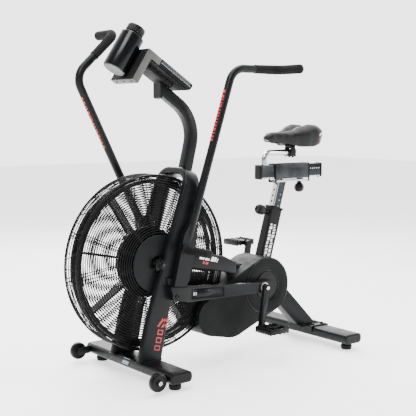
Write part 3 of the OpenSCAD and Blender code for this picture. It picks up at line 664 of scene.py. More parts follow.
def make_grilles():
    """Each side's ring wires, its paired spokes hooked over the rim, and its hub plate."""
    wire = 0.0021
    for name, side in SIDES.items():
        plate_y = max(abs(corner.y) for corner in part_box("grille_" + name)) - 0.004
        rings = bmesh.new()
        radius = PLATE_R + RING_PITCH
        while radius < CAGE_R - 0.006:
            ring_wire(rings, FAN, radius, side * dome(plate_y, radius), wire, 128, 6)
            radius += RING_PITCH
        for spoke in range(12):
            for spread in (-1.3, 1.3):
                a = 7.5 + 30 * spoke + spread
                inner = polar(FAN, PLATE_R - 0.004, a, side * (dome(plate_y, PLATE_R) - 0.003))
                outer = polar(FAN, CAGE_R - 0.004, a, side * (dome(plate_y, CAGE_R) - 0.003))
                lip = polar(FAN, CAGE_R - 0.0035, a, side * (CAGE_HALF - 0.012))
                tube(rings, bent_path([inner, outer, lip], [0.004], 4), 0.0019, 8)
        add_piece("grille_wires_" + name, rings, "black_wire", "frame", "black_wire", ("grille_" + name,))
        plate = bmesh.new()
        lathe(plate, [(0.0296, plate_y + 0.0005), (0.034, plate_y + 0.004), (0.104, plate_y + 0.004),
                      (0.1095, plate_y + 0.0033), (PLATE_R, plate_y + 0.001), (PLATE_R, plate_y - 0.001),
                      (0.108, plate_y - 0.0005), (0.0296, plate_y - 0.0005)], sideways(FAN, side), 96)
        add_piece("hub_plate_" + name, plate, "plate", "frame", "black_wire")


def make_rim():
    """Two thick hoops, the ring wires between them and the lattice of cross wires."""
    bm = bmesh.new()
    hoop = 0.0036
    mid = CAGE_R - hoop
    for side in (-1, 1):
        ring_wire(bm, FAN, mid, side * (CAGE_HALF + 0.0002), hoop, 160, 10)
    for y in (-0.028, -0.014, 0.0, 0.014, 0.028):
        ring_wire(bm, FAN, mid + 0.0012, y, 0.0015, 144, 6)
    for i in range(36):
        a = 10 * i
        rod(bm, polar(FAN, mid - 0.0022, a, -CAGE_HALF), polar(FAN, mid - 0.0022, a, CAGE_HALF), 0.0015, 8)
    for i in range(24):
        a = 15 * i + 3
        rod(bm, polar(FAN, mid - 0.0052, a, -CAGE_HALF), polar(FAN, mid - 0.0052, a + 6, CAGE_HALF), 0.0017, 8)
    add_piece("rim_lattice", bm, "black_wire", "frame", "black_wire", ("grille_rim",))


def make_rotor():
    """Stamped hub disc, folded paddle blades with rivets, and the two rings that tie the blades."""
    hub_r, ring_r, half = 0.138, 0.316, 0.028
    blades = 8
    bm = bmesh.new()
    lathe(bm, [(0.020, -0.006), (0.050, -0.006), (0.062, -0.0025), (0.118, -0.0025), (0.126, -0.006),
               (hub_r - 0.001, -0.006), (hub_r, -0.004), (hub_r, 0.004), (hub_r - 0.001, 0.006), (0.126, 0.006),
               (0.118, 0.0025), (0.062, 0.0025), (0.050, 0.006), (0.020, 0.006)], sideways(FAN, 1), 96)
    for side in (-1, 1):
        lathe(bm, [(0.0085, 0.006), (0.034, 0.006), (0.034, 0.047), (0.031, 0.050), (0.0085, 0.050)],
              sideways(FAN, side), 48)
        lathe(bm, [(ring_r - 0.008, half - 0.013), (ring_r + 0.0072, half - 0.013), (ring_r + 0.008, half - 0.012),
                   (ring_r + 0.008, half - 0.001), (ring_r + 0.0072, half), (ring_r - 0.0072, half),
                   (ring_r - 0.008, half - 0.001)], sideways(FAN, side), 120)
    rivets = bmesh.new()
    for i in range(blades):
        turn = moved(FAN.x, 0, FAN.z) @ Matrix.Rotation(
            math.radians(12 + 360 / blades * i), 4, "Y")
        inner, outer = hub_r - 0.030, ring_r - 0.0085
        blade = bmesh.new()
        profile = [(-half, -0.006), (-half + 0.0008, -0.006), (-half + 0.0012, -0.0008), (half - 0.0012, -0.0008),
                   (half - 0.0008, 0.006), (half, 0.006), (half - 0.0002, 0.0008), (-half + 0.0002, 0.0008)]
        rings = [[Vector((x, y, z)) for y, z in profile]
                 for x in (inner + 0.031, inner + 0.05, (inner + outer) / 2, outer)]
        loft(blade, rings)
        join(bm, blade, turn)
        block(bm, turn @ moved(inner + 0.028, 0, 0), (0.058, 0.030, 0.0045), 0.0012, 2)
        for x in (inner + 0.036, inner + 0.050):
            for y in (-0.009, 0.009):
                for z, flip in ((0.0022, 0), (-0.0022, math.pi)):
                    lathe(rivets, [(0, 0), (0.0028, 0), (0.0026, 0.0012), (0.0014, 0.002), (0, 0.0022)],
                          turn @ moved(x, y, z) @ Matrix.Rotation(flip, 4, "X"), 12)
    for i in range(6):
        for side in (-1, 1):
            hex_bolt(rivets, frame_at(polar(FAN, 0.042, 60 * i, side * 0.006), (0, side, 0)), 0.004, 0.004, False)
    add_piece("fan_wheel", bm, "black_plastic", "fan", "black_plastic", ("fan_rotor",))
    add_piece("fan_rivets", rivets, "bright_steel", "fan")


def make_axle_hardware():
    """The axle's chain-tug brackets, nuts and lock washers in front of the legs."""
    softened("axle_brackets", 0.002, "black_plastic", 2)
    bm = bmesh.new()
    for side in (-1, 1):
        place = sideways(FAN, side) @ moved(0, 0, 0.108)
        lathe(bm, [(0.0076, 0), (0.017, 0), (0.017, 0.0018), (0.0076, 0.0018)], place, 32)
        lathe(bm, [(0.0076, 0.0018), (0.0125, 0.0018), (0.0125, 0.0052), (0.011, 0.006), (0.0076, 0.006)], place, 6)
        tug = sideways((FAN.x - 0.022, 0, FAN.z), side) @ moved(0, 0, 0.092)
        for z in (-0.010, 0.012):
            hex_bolt(bm, frame_at(tug @ Vector((-0.0045, z * side, 0)), (-1, 0, 0)), 0.005, 0.007)
        block(bm, frame_at(tug @ Vector((0.002, 0.0, -0.010)), (0, 0, 1)), (0.014, 0.020, 0.030), 0.0015, 2)
    add_piece("axle_nuts", bm, "black_plastic", "frame")


# ---- drive ----


def make_casing():
    """Two moulded shells with rounded rims, a seam and raised edges."""
    for name, side in SIDES.items():
        face_y = side * CASING_HALF

        def on_rim(a, b, face_y=face_y):
            far = min((a - CRANK).xz.length, (b - CRANK).xz.length) > 0.07
            return abs(a.y - face_y) < 0.0005 and abs(b.y - face_y) < 0.0005 and far

        softened("casing_" + name, 0.0045, "casing", 4, on_rim, 40)
        # A round cover stands a little proud of each shell, with a lip at its outer and inner edge.
        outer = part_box("casing_" + name)[1].z - CRANK.z - 0.0015
        cover = bmesh.new()
        lathe(cover, [(0.0655, 0.0795), (0.0655, 0.0808), (0.0665, 0.0814), (outer - 0.0045, 0.0814),
                      (outer - 0.0018, 0.0806), (outer - 0.0004, 0.0790), (outer - 0.0004, 0.0770),
                      (outer - 0.006, 0.0770), (outer - 0.006, 0.0795)], sideways(CRANK, side), 128)
        add_piece("casing_cover_" + name, cover, "casing", "frame", SLOTS["casing_" + name], sharp=40)
        lip = bmesh.new()
        ring_wire(lip, CRANK, outer - 0.0030, side * 0.0796, 0.0028, 128, 10)
        ring_wire(lip, CRANK, 0.0655, side * 0.0806, 0.0012, 96, 8)
        add_piece("casing_lip_" + name, lip, "gloss_black", "frame", SLOTS["casing_" + name])


def make_crank():
    for name, side in SIDES.items():
        node = "crank_" + name
        body = "crank"
        softened(node, 0.0035, "charcoal_paint", 3, lambda a, b: abs(a.y) > 0.12 and abs(b.y) > 0.12)
        pin = crank_pin(name)
        detail = bmesh.new()
        # The groove ring is drawn in black plastic, darker than the charcoal disc: painted shade in the groove.
        groove = sideways(CRANK, side) @ moved(0, 0, 0.081)
        lathe(detail, [(0.0555, -0.001), (0.0555, 0.0008), (0.057, 0.0014), (0.0600, 0.0014), (0.0612, 0.0006),
                       (0.0612, -0.001)], groove, 96)
        for degrees in (70, 25, -40, 160, 205, 290):
            spot = polar(CRANK, 0.040, degrees, side * 0.0808)
            lathe(detail, [(0, 0), (0.0042, 0), (0.0042, 0.0006), (0.0030, 0.0008), (0, 0.0002)],
                  frame_at(spot, (0, side, 0)), 24)
        add_piece("crank_disc_detail_" + name, detail, "black_plastic", body, "grey_steel")
        bolts = bmesh.new()
        cap_screw(bolts, sideways(pin, side) @ moved(0, 0, 0.1585), 0.0075, 0.004)
        add_piece("crank_bolt_" + name, bolts, "bright_steel", body)


def crank_pin(name):
    """The crank pin's place at rest, from the middle of the pin's cap."""
    return polar(CRANK, CRANK_PIN_R, CRANK_PIN_DEGREES[name], SIDES[name] * 0.15)


def make_pedals():
    """A hollow platform: two toothed rails, cross bars and a barrel round the spindle."""
    for name, side in SIDES.items():
        spindle = joint_at(name + "_pedal_spin")
        low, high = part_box("pedal_" + name)
        middle = (low.y + high.y) / 2
        width = high.y - low.y
        bm = bmesh.new()
        lathe(bm, [(0.0072, -width / 2), (0.0135, -width / 2), (0.0145, -width / 2 + 0.002),
                   (0.0115, -width / 2 + 0.012), (0.0105, 0), (0.0115, width / 2 - 0.012),
                   (0.0125, width / 2 - 0.002), (0.0105, width / 2), (0.0, width / 2)],
              frame_at((spindle.x, middle, spindle.z), (0, side, 0)), 32)
        half_x = (high.x - low.x) / 2
        for end in (-1, 1):
            x = spindle.x + end * (half_x - 0.0045)
            block(bm, moved(x, middle, spindle.z), (0.009, width - 0.004, 0.018), 0.002, 2)
            for i in range(7):
                y = middle + (i - 3) * (width - 0.014) / 6
                block(bm, moved(x, y, spindle.z), (0.0088, 0.0062, 0.026), 0.0014, 2)
        for y in (-width / 2 + 0.006, 0, width / 2 - 0.006):
            block(bm, moved(spindle.x, middle + y, spindle.z),
                  (2 * half_x - 0.008, 0.010, 0.020), 0.0022, 2)
            for x in (-0.026, 0.026):
                block(bm, moved(spindle.x + x, middle + y, spindle.z), (0.007, 0.0065, 0.025), 0.0014, 2)
        add_piece("pedal_platform_" + name, bm, "black_plastic", name + "_pedal", "black_plastic",
                  ("pedal_" + name,))
        markers = bmesh.new()
        for end in (-1, 1):
            block(markers, moved(spindle.x + end * (half_x - 0.0009), middle, spindle.z),
                  (0.0016, 0.040, 0.009), 0.0005, 1)
        add_piece("pedal_reflector_" + name, markers, "gloss_black", name + "_pedal")


# ---- arms and rods ----


def arm_matrix(name):
    """The arm's own frame: its pivot at the origin and its foot straight down."""
    foot = joint_at(name + "_rod_swing")
    down = Vector((foot.x - PIVOT.x, 0, foot.z - PIVOT.z)).normalized()
    return frame_at((PIVOT.x, 0, PIVOT.z), -down, (1, 0, 0))


def make_arm(name):
    side = SIDES[name]
    body = name + "_arm"
    place = arm_matrix(name)
    foot_drop = (joint_at(name + "_rod_swing") - Vector((PIVOT.x, side * ARM_Y, PIVOT.z))).length
    mid, half_t = ARM_Y, 0.011
    plate = bmesh.new()
    outline = [(-0.019, 0.052), (-0.019, -foot_drop)]
    outline += [(0.019 * math.cos(math.radians(a)), -foot_drop + 0.019 * math.sin(math.radians(a)))
                for a in range(195, 360, 15)]
    outline += [(0.019, -foot_drop), (0.046, -0.112), (0.046, 0.018), (0.037, 0.105), (0.002, 0.105)]
    y0, y1 = side * mid - half_t, side * mid + half_t
    prism(plate, outline, y0, y1, 0.0065, 4, place)
    add_piece("arm_plate_" + name, plate, "charcoal_paint", body)

    low = Vector((0.018, side * (mid + 0.002), 0.132))
    knee = Vector((0.0595, side * (mid + 0.018), 0.7289))
    back = Vector((math.cos(math.radians(13.4)), 0, math.sin(math.radians(13.4))))
    wrist = knee + back * 0.243
    out = Vector((0, side, 0))
    rise = (knee - low).normalized()
    start = low - rise * 0.11
    handle_end = wrist + out * 0.126
    straight = [start + (knee - start) * t for t in (0, 0.02, 0.05, 0.09, 0.14, 0.20, 0.28)]
    path = straight + bent_path([knee - rise * 0.30, knee, wrist, handle_end], [0.070, 0.034], 14)
    points = [place @ p for p in path]

    def widths(i, _):
        """The tube is pressed flatter where it runs down into the plate."""
        t = min(1.0, i / 6)
        return (0.0115 + 0.0045 * t, 0.0205 - 0.0045 * t)

    bm = bmesh.new()
    tube(bm, points, 0.016, 24, widths)
    add_piece("arm_tube_" + name, bm, "charcoal_paint", body, "charcoal_paint", ("arm_" + name,))

    hardware = bmesh.new()
    lathe(hardware, [(0.0127, mid + half_t), (0.024, mid + half_t), (0.024, mid + half_t + 0.0006),
                     (0.0127, mid + half_t + 0.0009)], sideways(PIVOT, side), 40)
    add_piece("arm_pivot_washer_" + name, hardware, "black_plastic", body)

    foam = bmesh.new()
    grip_r = 0.0185
    foam_path = bent_path([wrist - back * 0.125, wrist, wrist + out * 0.1215], [0.034], 14)
    tube(foam, [place @ p for p in foam_path], grip_r, 28,
         lambda i, t: (grip_r - 0.0012 * (i == 0), grip_r - 0.0012 * (i == 0)), True)
    grip = add_piece("foam_grip_" + name, foam, "foam", body, "foam", ("grip_" + name,), 60)
    collar = bmesh.new()
    ring_at = wrist - back * 0.1265
    lathe(collar, [(0.0162, 0), (0.0182, 0.0004), (0.0182, 0.0034), (0.0162, 0.0038)],
          frame_at(place @ ring_at, (place.to_3x3() @ -back)), 28)
    add_piece("grip_collar_" + name, collar, "black_rubber", body, "foam")
    make_arm_print(name, place, low, knee, rise)


def make_arm_print(name, place, low, knee, rise):
    """A broken red stripe down the front of the upper tube."""
    start, end = low + (knee - low) * 0.50, low + (knee - low) * 0.86
    front = Vector((-1, 0, 0)) - rise * Vector((-1, 0, 0)).dot(rise)
    front.normalize()
    across = rise.cross(front)
    radius = 0.0162
    length = (end - start).length
    bm = bmesh.new()
    position = 0.0
    while position < length - 0.006:
        stop = min(position + random.choice((0.006, 0.009, 0.013)), length)
        lean = random.choice((0.0, 0.002, -0.002))
        strip = []
        for along in (position, stop):
            ring = []
            for i in range(7):
                a = math.radians(-30 + 60 * i / 6)
                shift = rise * (along + lean * (i - 3) / 3)
                ring.append(place @ (start + shift + (front * math.cos(a) + across * math.sin(a)) * radius))
            strip.append([bm.verts.new(p) for p in ring])
        for i in range(6):
            bm.faces.new((strip[0][i], strip[0][i + 1], strip[1][i + 1], strip[1][i]))
        position = stop + 0.0055
    add_piece("arm_stripe_" + name, bm, "red_print", name + "_arm", "charcoal_paint")


def make_rod_details(name):
    side = SIDES[name]
    body = name + "_rod"
    softened("rod_" + name, 0.0035, "charcoal_paint", 3,
             lambda a, b: (a - b).length > 0.03 or abs((a.y + b.y) / 2) < 0.12)
    foot = joint_at(name + "_rod_swing")
    pin = crank_pin(name)
    ring = bmesh.new()
    end = sideways(pin, side) @ moved(0, 0, ROD_FACE)
    lathe(ring, [(0.0152, 0), (0.0165, 0.0026), (0.019, 0.0030), (0.0205, 0.0026), (0.021, 0)], end, 48)
    add_piece("rod_bush_" + name, ring, "bronze", body, "bright_steel")
    bolt = bmesh.new()
    front = sideways(foot, side) @ moved(0, 0, ROD_FACE)
    cap_screw(bolt, front, 0.009, 0.004)
    add_piece("rod_front_bolt_" + name, bolt, "black_plastic", body)
    patch = bmesh.new()
    way = (pin - foot)
    way = Vector((way.x, 0, way.z)).normalized()
    up = Vector((-way.z, 0, way.x))
    start = Vector((foot.x, side * 0.1374, foot.z)) + way * 0.076 + up * 0.003
    for dx, w, h in ((0.006, 0.008, 0.011), (0.016, 0.004, 0.013)):
        c = start + way * dx
        quad = [c - way * w / 2 - up * h / 2, c + way * w / 2 - up * h / 2, c + way * w / 2 + up * h / 2,
                c - way * w / 2 + up * h / 2]
        patch.faces.new([patch.verts.new(p) for p in quad])
    add_piece("rod_mark_" + name, patch, "label", body, "charcoal_paint")


def make_pegs():
    """Ribbed rubber foot pegs with a flange and a rounded end."""
    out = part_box("foot_pegs")[1].y
    start = 0.1372
    bm = bmesh.new()
    for side in (-1, 1):
        profile = [(0.0124, 0.082), (0.0124, start), (0.0165, start), (0.0185, start + 0.001),
                   (0.0185, start + 0.004), (0.0160, start + 0.006)]
        y = start + 0.010
        while y < out - 0.018:
            profile += [(0.0152, y), (0.0160, y + 0.0012), (0.0160, y + 0.0058), (0.0152, y + 0.007)]
            y += 0.0082
        profile += [(0.0160, out - 0.014), (0.0160, out - 0.005), (0.0148, out - 0.0018), (0.0115, out), (0, out)]
        lathe(bm, [(0, 0.082)] + profile, sideways(PIVOT, side), 40)
    add_piece("peg_sleeves", bm, "black_rubber", "frame", "black_plastic", ("foot_pegs",), 40)


# ---- seat ----

SEAT_LEAN = math.radians(16.5)
SEAT_UP = Vector((math.sin(SEAT_LEAN), 0, math.cos(SEAT_LEAN)))
SEAT_BACK = Vector((math.cos(SEAT_LEAN), 0, -math.sin(SEAT_LEAN)))


def seat_frame(offset=0.0):
    """Z up the seat tube from its foot, X towards the rear."""
    return frame_at(at(0.633, 0, 0.330) + SEAT_UP * offset, SEAT_UP, SEAT_BACK)


def make_seat_tube_details():
    """The collar's clamp screws."""
    bm = bmesh.new()
    place = seat_frame(0.286)
    for y in (-1, 1):
        for x in (-0.020, 0.020):
            cap_screw(bm, place @ moved(x, y * 0.025, 0.004) @
                      Matrix.Rotation(-y * math.pi / 2, 4, "X"), 0.0038, 0.0018)
    add_piece("collar_screws", bm, "black_plastic", "frame")


def make_knobs():
    """The two pull knobs: a fluted cylinder with a dished end, and a lobed one under the sleeve."""
    place = seat_frame(0.264) @ moved(-0.0455, 0, 0) @ Matrix.Rotation(math.pi / 2, 4, "Y")
    stem = [(0, 0.022), (0.0048, 0.022), (0.0050, 0.021), (0.0050, 0.0), (0.0092, -0.0004), (0.0100, -0.003),
            (0.0100, -0.0078)]
    grip = [(0.0135, -0.0095), (0.0198, -0.013), (0.0220, -0.018), (0.0220, -0.038), (0.0209, -0.0425),
            (0.0180, -0.0462), (0.0148, -0.0485), (0.0128, -0.0490), (0.0112, -0.0475), (0, -0.0465)]
    bm = bmesh.new()
    lathe(bm, stem + grip, place, 64, lambda a, r, h: 1 + (0.03 * math.cos(12 * a) - 0.03 if r > 0.0195 else 0))
    add_piece("post_pull_knob", bm, "black_plastic", "post_pin", "black_plastic", ("post_knob",), 50)
    low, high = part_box("slider_knob")
    middle = (low + high) / 2
    stem = [(0, 0.018), (0.0048, 0.018), (0.0050, 0.017), (0.0050, 0.0), (0.0092, -0.0005), (0.0100, -0.004),
            (0.0100, -0.0075)]
    grip = [(0.0150, -0.011), (0.0192, -0.017), (0.0215, -0.025), (0.0215, -0.032), (0.0195, -0.039),
            (0.0150, -0.0450), (0.0080, -0.0485), (0, -0.049)]
    bm = bmesh.new()
    lathe(bm, stem + grip, moved(middle.x, 0, high.z - 0.018), 64,
          lambda a, r, h: 1 + (0.045 * math.cos(8 * a) - 0.035 if r > 0.0145 else 0))
    add_piece("slider_pull_knob", bm, "black_plastic", "slider_pin", "black_plastic", ("slider_knob",), 50)


def make_slider():
    """End caps, the sleeve's trim, the row of index dots and the bright lower edge."""
    low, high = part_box("slider_bar")
    sleeve_low, sleeve_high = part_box("slider_sleeve")
    softened("slider_bar", 0.0025, "grey_steel", 3, lambda a, b: (a - b).length > 0.03)
    softened("slider_sleeve", 0.003, "grey_steel", 3, lambda a, b: (a - b).length > 0.02)
    caps = bmesh.new()
    half_y, half_z = (high.y - low.y) / 2, (high.z - low.z) / 2
    centre_z = (low.z + high.z) / 2
    for x, way in ((low.x, 1), (high.x, -1)):
        rings = []
        for step, inset in ((-0.0010, 0.0110), (-0.0010, 0.0050), (-0.0002, 0.0018), (0.0030, -0.0006),
                            (0.0086, -0.0006), (0.0098, 0.0006), (0.0098, 0.010)):
            rings.append(cross_ring(x + way * step, centre_z, half_y + 0.0003 - inset, half_z + 0.0003 - inset,
                                    max(0.0075 - inset * 0.5, 0.002), 5))
        loft(caps, rings)
    add_piece("slider_end_caps", caps, "black_plastic", "slider")
    trim = bmesh.new()
    mid_x = (sleeve_low.x + sleeve_high.x) / 2
    width_y = sleeve_high.y - sleeve_low.y
    block(trim, moved(mid_x, 0, sleeve_high.z + 0.0006),
          (sleeve_high.x - sleeve_low.x - 0.004, width_y - 0.004, 0.0030), 0.0012, 2)
    mid_z, half_sleeve = (sleeve_low.z + sleeve_high.z) / 2, (sleeve_high.z - sleeve_low.z) / 2
    lip = ((-0.0028, 0.0, 0.004), (-0.0023, 0.0012, 0.004), (0.0023, 0.0012, 0.004), (0.0028, 0.0, 0.004),
           (0.0028, -0.0035, 0.002), (-0.0028, -0.0035, 0.002))
    for x in (sleeve_low.x, sleeve_high.x):
        loft(trim, [cross_ring(x + dx, mid_z, width_y / 2 + grow, half_sleeve + grow, corner, 4)
                    for dx, grow, corner in lip], closed=True)
    add_piece("sleeve_trim", trim, "black_plastic", "post")
    bright = bmesh.new()
    bar_low = low.z + 0.002
    for x0, x1 in ((low.x + 0.011, sleeve_low.x - 0.007), (sleeve_high.x + 0.007, high.x - 0.012)):
        for side in (-1, 1):
            block(bright, moved((x0 + x1) / 2, side * (half_y - 0.0025), bar_low + 0.0026),
                  (x1 - x0, 0.0012, 0.0044), 0.0004, 1)
    add_piece("slider_wear_strip", bright, "bright_steel", "slider")
    sleeve_bright = bmesh.new()
    for side in (-1, 1):
        block(sleeve_bright, moved(mid_x, side * (width_y / 2 + 0.0004), sleeve_low.z + 0.0048),
              (sleeve_high.x - sleeve_low.x - 0.012, 0.0012, 0.0072), 0.0004, 1)
    add_piece("sleeve_lower_plate", sleeve_bright, "bright_steel", "post")
    dots = bmesh.new()
    for side in (-1, 1):
        for i in range(5):
            x = high.x - 0.018 - 0.0130 * i
            lathe(dots, [(0, 0), (0.0026, 0), (0.0024, 0.0003), (0, 0.0003)],
                  frame_at((x, side * (half_y - 0.0021), centre_z + 0.008), (0, side, 0)), 16)
    add_piece("slider_index_dots", dots, "white_print", "slider", "bright_steel")
    screw = bmesh.new()
    hex_bolt(screw, frame_at((high.x - 0.0058, 0, low.z + 0.0005), (0, 0, -1)), 0.0036, 0.005)
    add_piece("slider_stop_screw", screw, "black_plastic", "slider")


def make_post():
    """The post keeps a bright front face and brushed dark sides with small index marks."""
    sides = bmesh.new()
    place = seat_frame()
    for y in (-1, 1):
        outline = [(-0.0165, 0.102), (0.0195, 0.102), (0.0195, 0.410), (-0.0165, 0.420)]
        prism(sides, outline, y * 0.0161, y * 0.0168, 0.0, 1, place)
    add_piece("post_side_skins", sides, "grey_steel", "post")
    marks = bmesh.new()
    for side in (-1, 1):
        for i in range(9):
            spot = place @ Vector((0.004, side * 0.0168, 0.150 + 0.025 * i))
            lathe(marks, [(0, 0), (0.0030, 0), (0.0026, 0.0004), (0, 0.0004)], frame_at(spot, (0, side, 0)), 16)
    add_piece("post_index_marks", marks, "label", "post", "bright_steel")


def make_saddle_hardware():
    """The clamp with its bolts, the bent steel rails and two rear bumpers."""
    softened("saddle_clamp", 0.002, "black_plastic", 2)
    tilt = joint_at("saddle_tilt")
    low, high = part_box("saddle_rails")
    bm = bmesh.new()
    for side in (-1, 1):
        points = [
            Vector((low.x + 0.006, side * 0.010, high.z - 0.002)),
            Vector((tilt.x - 0.070, side * 0.024, tilt.z + 0.014)),
            Vector((tilt.x + 0.070, side * 0.024, tilt.z + 0.014)),
            Vector((high.x - 0.006, side * 0.034, high.z - 0.004)),
        ]
        tube(bm, bent_path(points, [0.03, 0.03], 8), 0.0035, 14)
    lathe(bm, [(0.0042, -0.0165), (0.011, -0.0165), (0.011, 0.0165), (0.0042, 0.0165)],
          frame_at(tilt, (0, 1, 0)), 32)
    block(bm, moved(tilt.x, 0, tilt.z + 0.0135), (0.052, 0.058, 0.006), 0.0015, 2)
    add_piece("saddle_rail_frame", bm, "black_wire", "saddle", "bright_steel", ("saddle_rails",))
    bolts = bmesh.new()
    for side in (-1, 1):
        hex_bolt(bolts, frame_at((tilt.x, side * 0.022, tilt.z), (0, side, 0)), 0.0065, 0.006)
    for y in (-0.011, 0.011):
        hex_bolt(bolts, frame_at((tilt.x + 0.006, y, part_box("saddle_clamp")[0].z), (0, 0, -1)), 0.0045, 0.005)
    add_piece("saddle_clamp_bolts", bolts, "black_plastic", "slider")
    pads = bmesh.new()
    for side in (-1, 1):
        middle = Vector((tilt.x + 0.078, side * 0.050, high.z - 0.001))
        lathe(pads, [(0, -0.019), (0.009, -0.019), (0.0135, -0.016), (0.0150, -0.010), (0.0125, -0.006),
                     (0.0150, -0.002), (0.0160, 0.006), (0.013, 0.012), (0, 0.014)],
              Matrix.Translation(middle), 32)
    add_piece("saddle_bumpers", pads, "black_rubber", "saddle")


def between(points, s):
    """Value at s of a smooth curve through (s, value) points."""
    for (s0, v0), (s1, v1) in zip(points, points[1:]):
        if s <= s1:
            t = (s - s0) / (s1 - s0)
            return v0 + (v1 - v0) * t * t * (3 - 2 * t)
    return points[-1][1]


SADDLE = {
    "half": [(0, 0.020), (0.12, 0.028), (0.30, 0.038), (0.46, 0.066), (0.64, 0.096), (0.78, 0.102), (0.90, 0.092),
             (1, 0.058)],
    "crown": [(0, 0.054), (0.12, 0.064), (0.32, 0.067), (0.44, 0.074), (0.58, 0.094), (0.72, 0.1045), (0.84, 0.102),
              (0.93, 0.094), (1, 0.082)],
    "rim": [(0, 0.040), (0.3, 0.044), (0.6, 0.052), (0.82, 0.062), (1, 0.064)],
    "floor": [(0, 0.026), (0.12, 0.021), (0.34, 0.013), (0.54, 0.0010), (0.70, 0.0010), (0.84, 0.011), (0.93, 0.028),
              (1, 0.046)],
    "groove": [(0, 0), (0.22, 0.001), (0.40, 0.012), (0.56, 0.030), (0.82, 0.038), (1, 0.026)],
    "hollow": [(0, 0), (0.14, 0.003), (0.28, 0.012), (0.5, 0.025), (0.72, 0.025), (0.84, 0.016), (1, 0.003)],
}


def saddle_half(s):
    """Right half of the cross-section at s, from the top centre to the bottom centre, as (y, z)."""
    half, crown, rim, floor, groove, hollow = (between(SADDLE[key], s) for key in SADDLE)
    points = []
    for k in range(15):
        u = math.sin(math.pi / 2 * k / 14)
        z = rim + (crown - rim) * max(0.0, 1 - u ** 2.6) ** 0.58
        z -= groove * math.exp(-(u / 0.30) ** 2) - 0.0012 * math.sin(9 * s + 5 * u) * u * (1 - u)
        points.append((half * u, z))
    for v in (0.2, 0.4, 0.6, 0.8, 1.0):
        points.append((half * (1 - 0.10 * v ** 1.6), rim + (floor - rim) * v))
    points += [(half * 0.87, floor - 0.0002), (half * 0.83, floor + 0.002)]
    points += [(half * w, floor + 0.002 + hollow * min(1.0, (0.83 - w) / 0.08)) for w in (0.75, 0.5, 0.25, 0.0)]
    return points


def saddle_point(x, base_z, y, z, s, shrink):
    middle = (between(SADDLE["crown"], s) + between(SADDLE["floor"], s)) / 2
    return Vector((x, y * shrink, base_z + middle + (z - middle) * shrink))


def saddle_shrink(s):
    """Closes the section to a round nose and a round tail."""
    nose, tail = min(1.0, s / 0.11), min(1.0, (1 - s) / 0.16)
    return max(0.10, math.sqrt(max(0.0, 1 - (1 - nose) ** 2)) * math.sqrt(max(0.0, 1 - (1 - tail) ** 2.4)))


def make_saddle():
    """The padded cover, shaped section by section, with its side stripes."""
    low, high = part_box("saddle_pad")
    x_at = lambda s: low.x + 0.001 + (high.x - low.x - 0.002) * s
    bm = bmesh.new()
    rings = []
    stations = 44
    for i in range(stations + 1):
        s = i / stations
        right = saddle_half(s)
        outline = right + [(-y, z) for y, z in reversed(right[1:-1])]
        rings.append([saddle_point(x_at(s), low.z, y, z, s, saddle_shrink(s)) for y, z in outline])
    loft(bm, rings)
    cover = add_piece("saddle_cover", bm, "vinyl", "saddle", "vinyl", ("saddle_pad",), 80)
    modifier = cover.modifiers.new("smooth", "SUBSURF")
    modifier.levels = modifier.render_levels = 1

    def patch(name, material, bands):
        """Strips that lie on the saddle's rear sides, between points of the section."""
        strip = bmesh.new()
        for side in (-1, 1):
            for s0, s1, first, last, slant in bands:
                rows = []
                for i in range(13):
                    s = s0 + (s1 - s0) * i / 12
                    row = []
                    for k in range(5):
                        position = first + (last - first) * k / 4 + slant * i / 12
                        a = int(position)
                        (y0, z0), (y1, z1) = saddle_half(s)[a], saddle_half(s)[a + 1]
                        t = position - a
                        y, z = y0 + (y1 - y0) * t, z0 + (z1 - z0) * t
                        point = saddle_point(x_at(s), low.z, side * (y + 0.0005), z, s, saddle_shrink(s))
                        row.append(strip.verts.new(point))
                    rows.append(row)
                for a, b in zip(rows, rows[1:]):
                    for k in range(4):
                        strip.faces.new((a[k], a[k + 1], b[k + 1], b[k]))
        return add_piece(name, strip, material, "saddle", "vinyl")

    patch("saddle_stripe_white", "white_print", [(0.80, 0.955, 14.6, 15.5, -1.6)])
    patch("saddle_panel_red", "dark_red", [(0.86, 0.955, 11.5, 12.9, -0.6), (0.80, 0.955, 16.2, 17.8, -1.2)])


# ---- console ----

SLOPE = math.radians(33.1)


def console_frame(x=0.0, y=0.0, z=0.0):
    """X down the screen's slope, Z out of the screen, origin at the shelf's top front edge."""
    corner = at(0.0175, 0, 1.253)
    place = frame_at(corner, (math.sin(SLOPE), 0, math.cos(SLOPE)), (math.cos(SLOPE), 0, -math.sin(SLOPE)))
    return place @ moved(x, y, z)


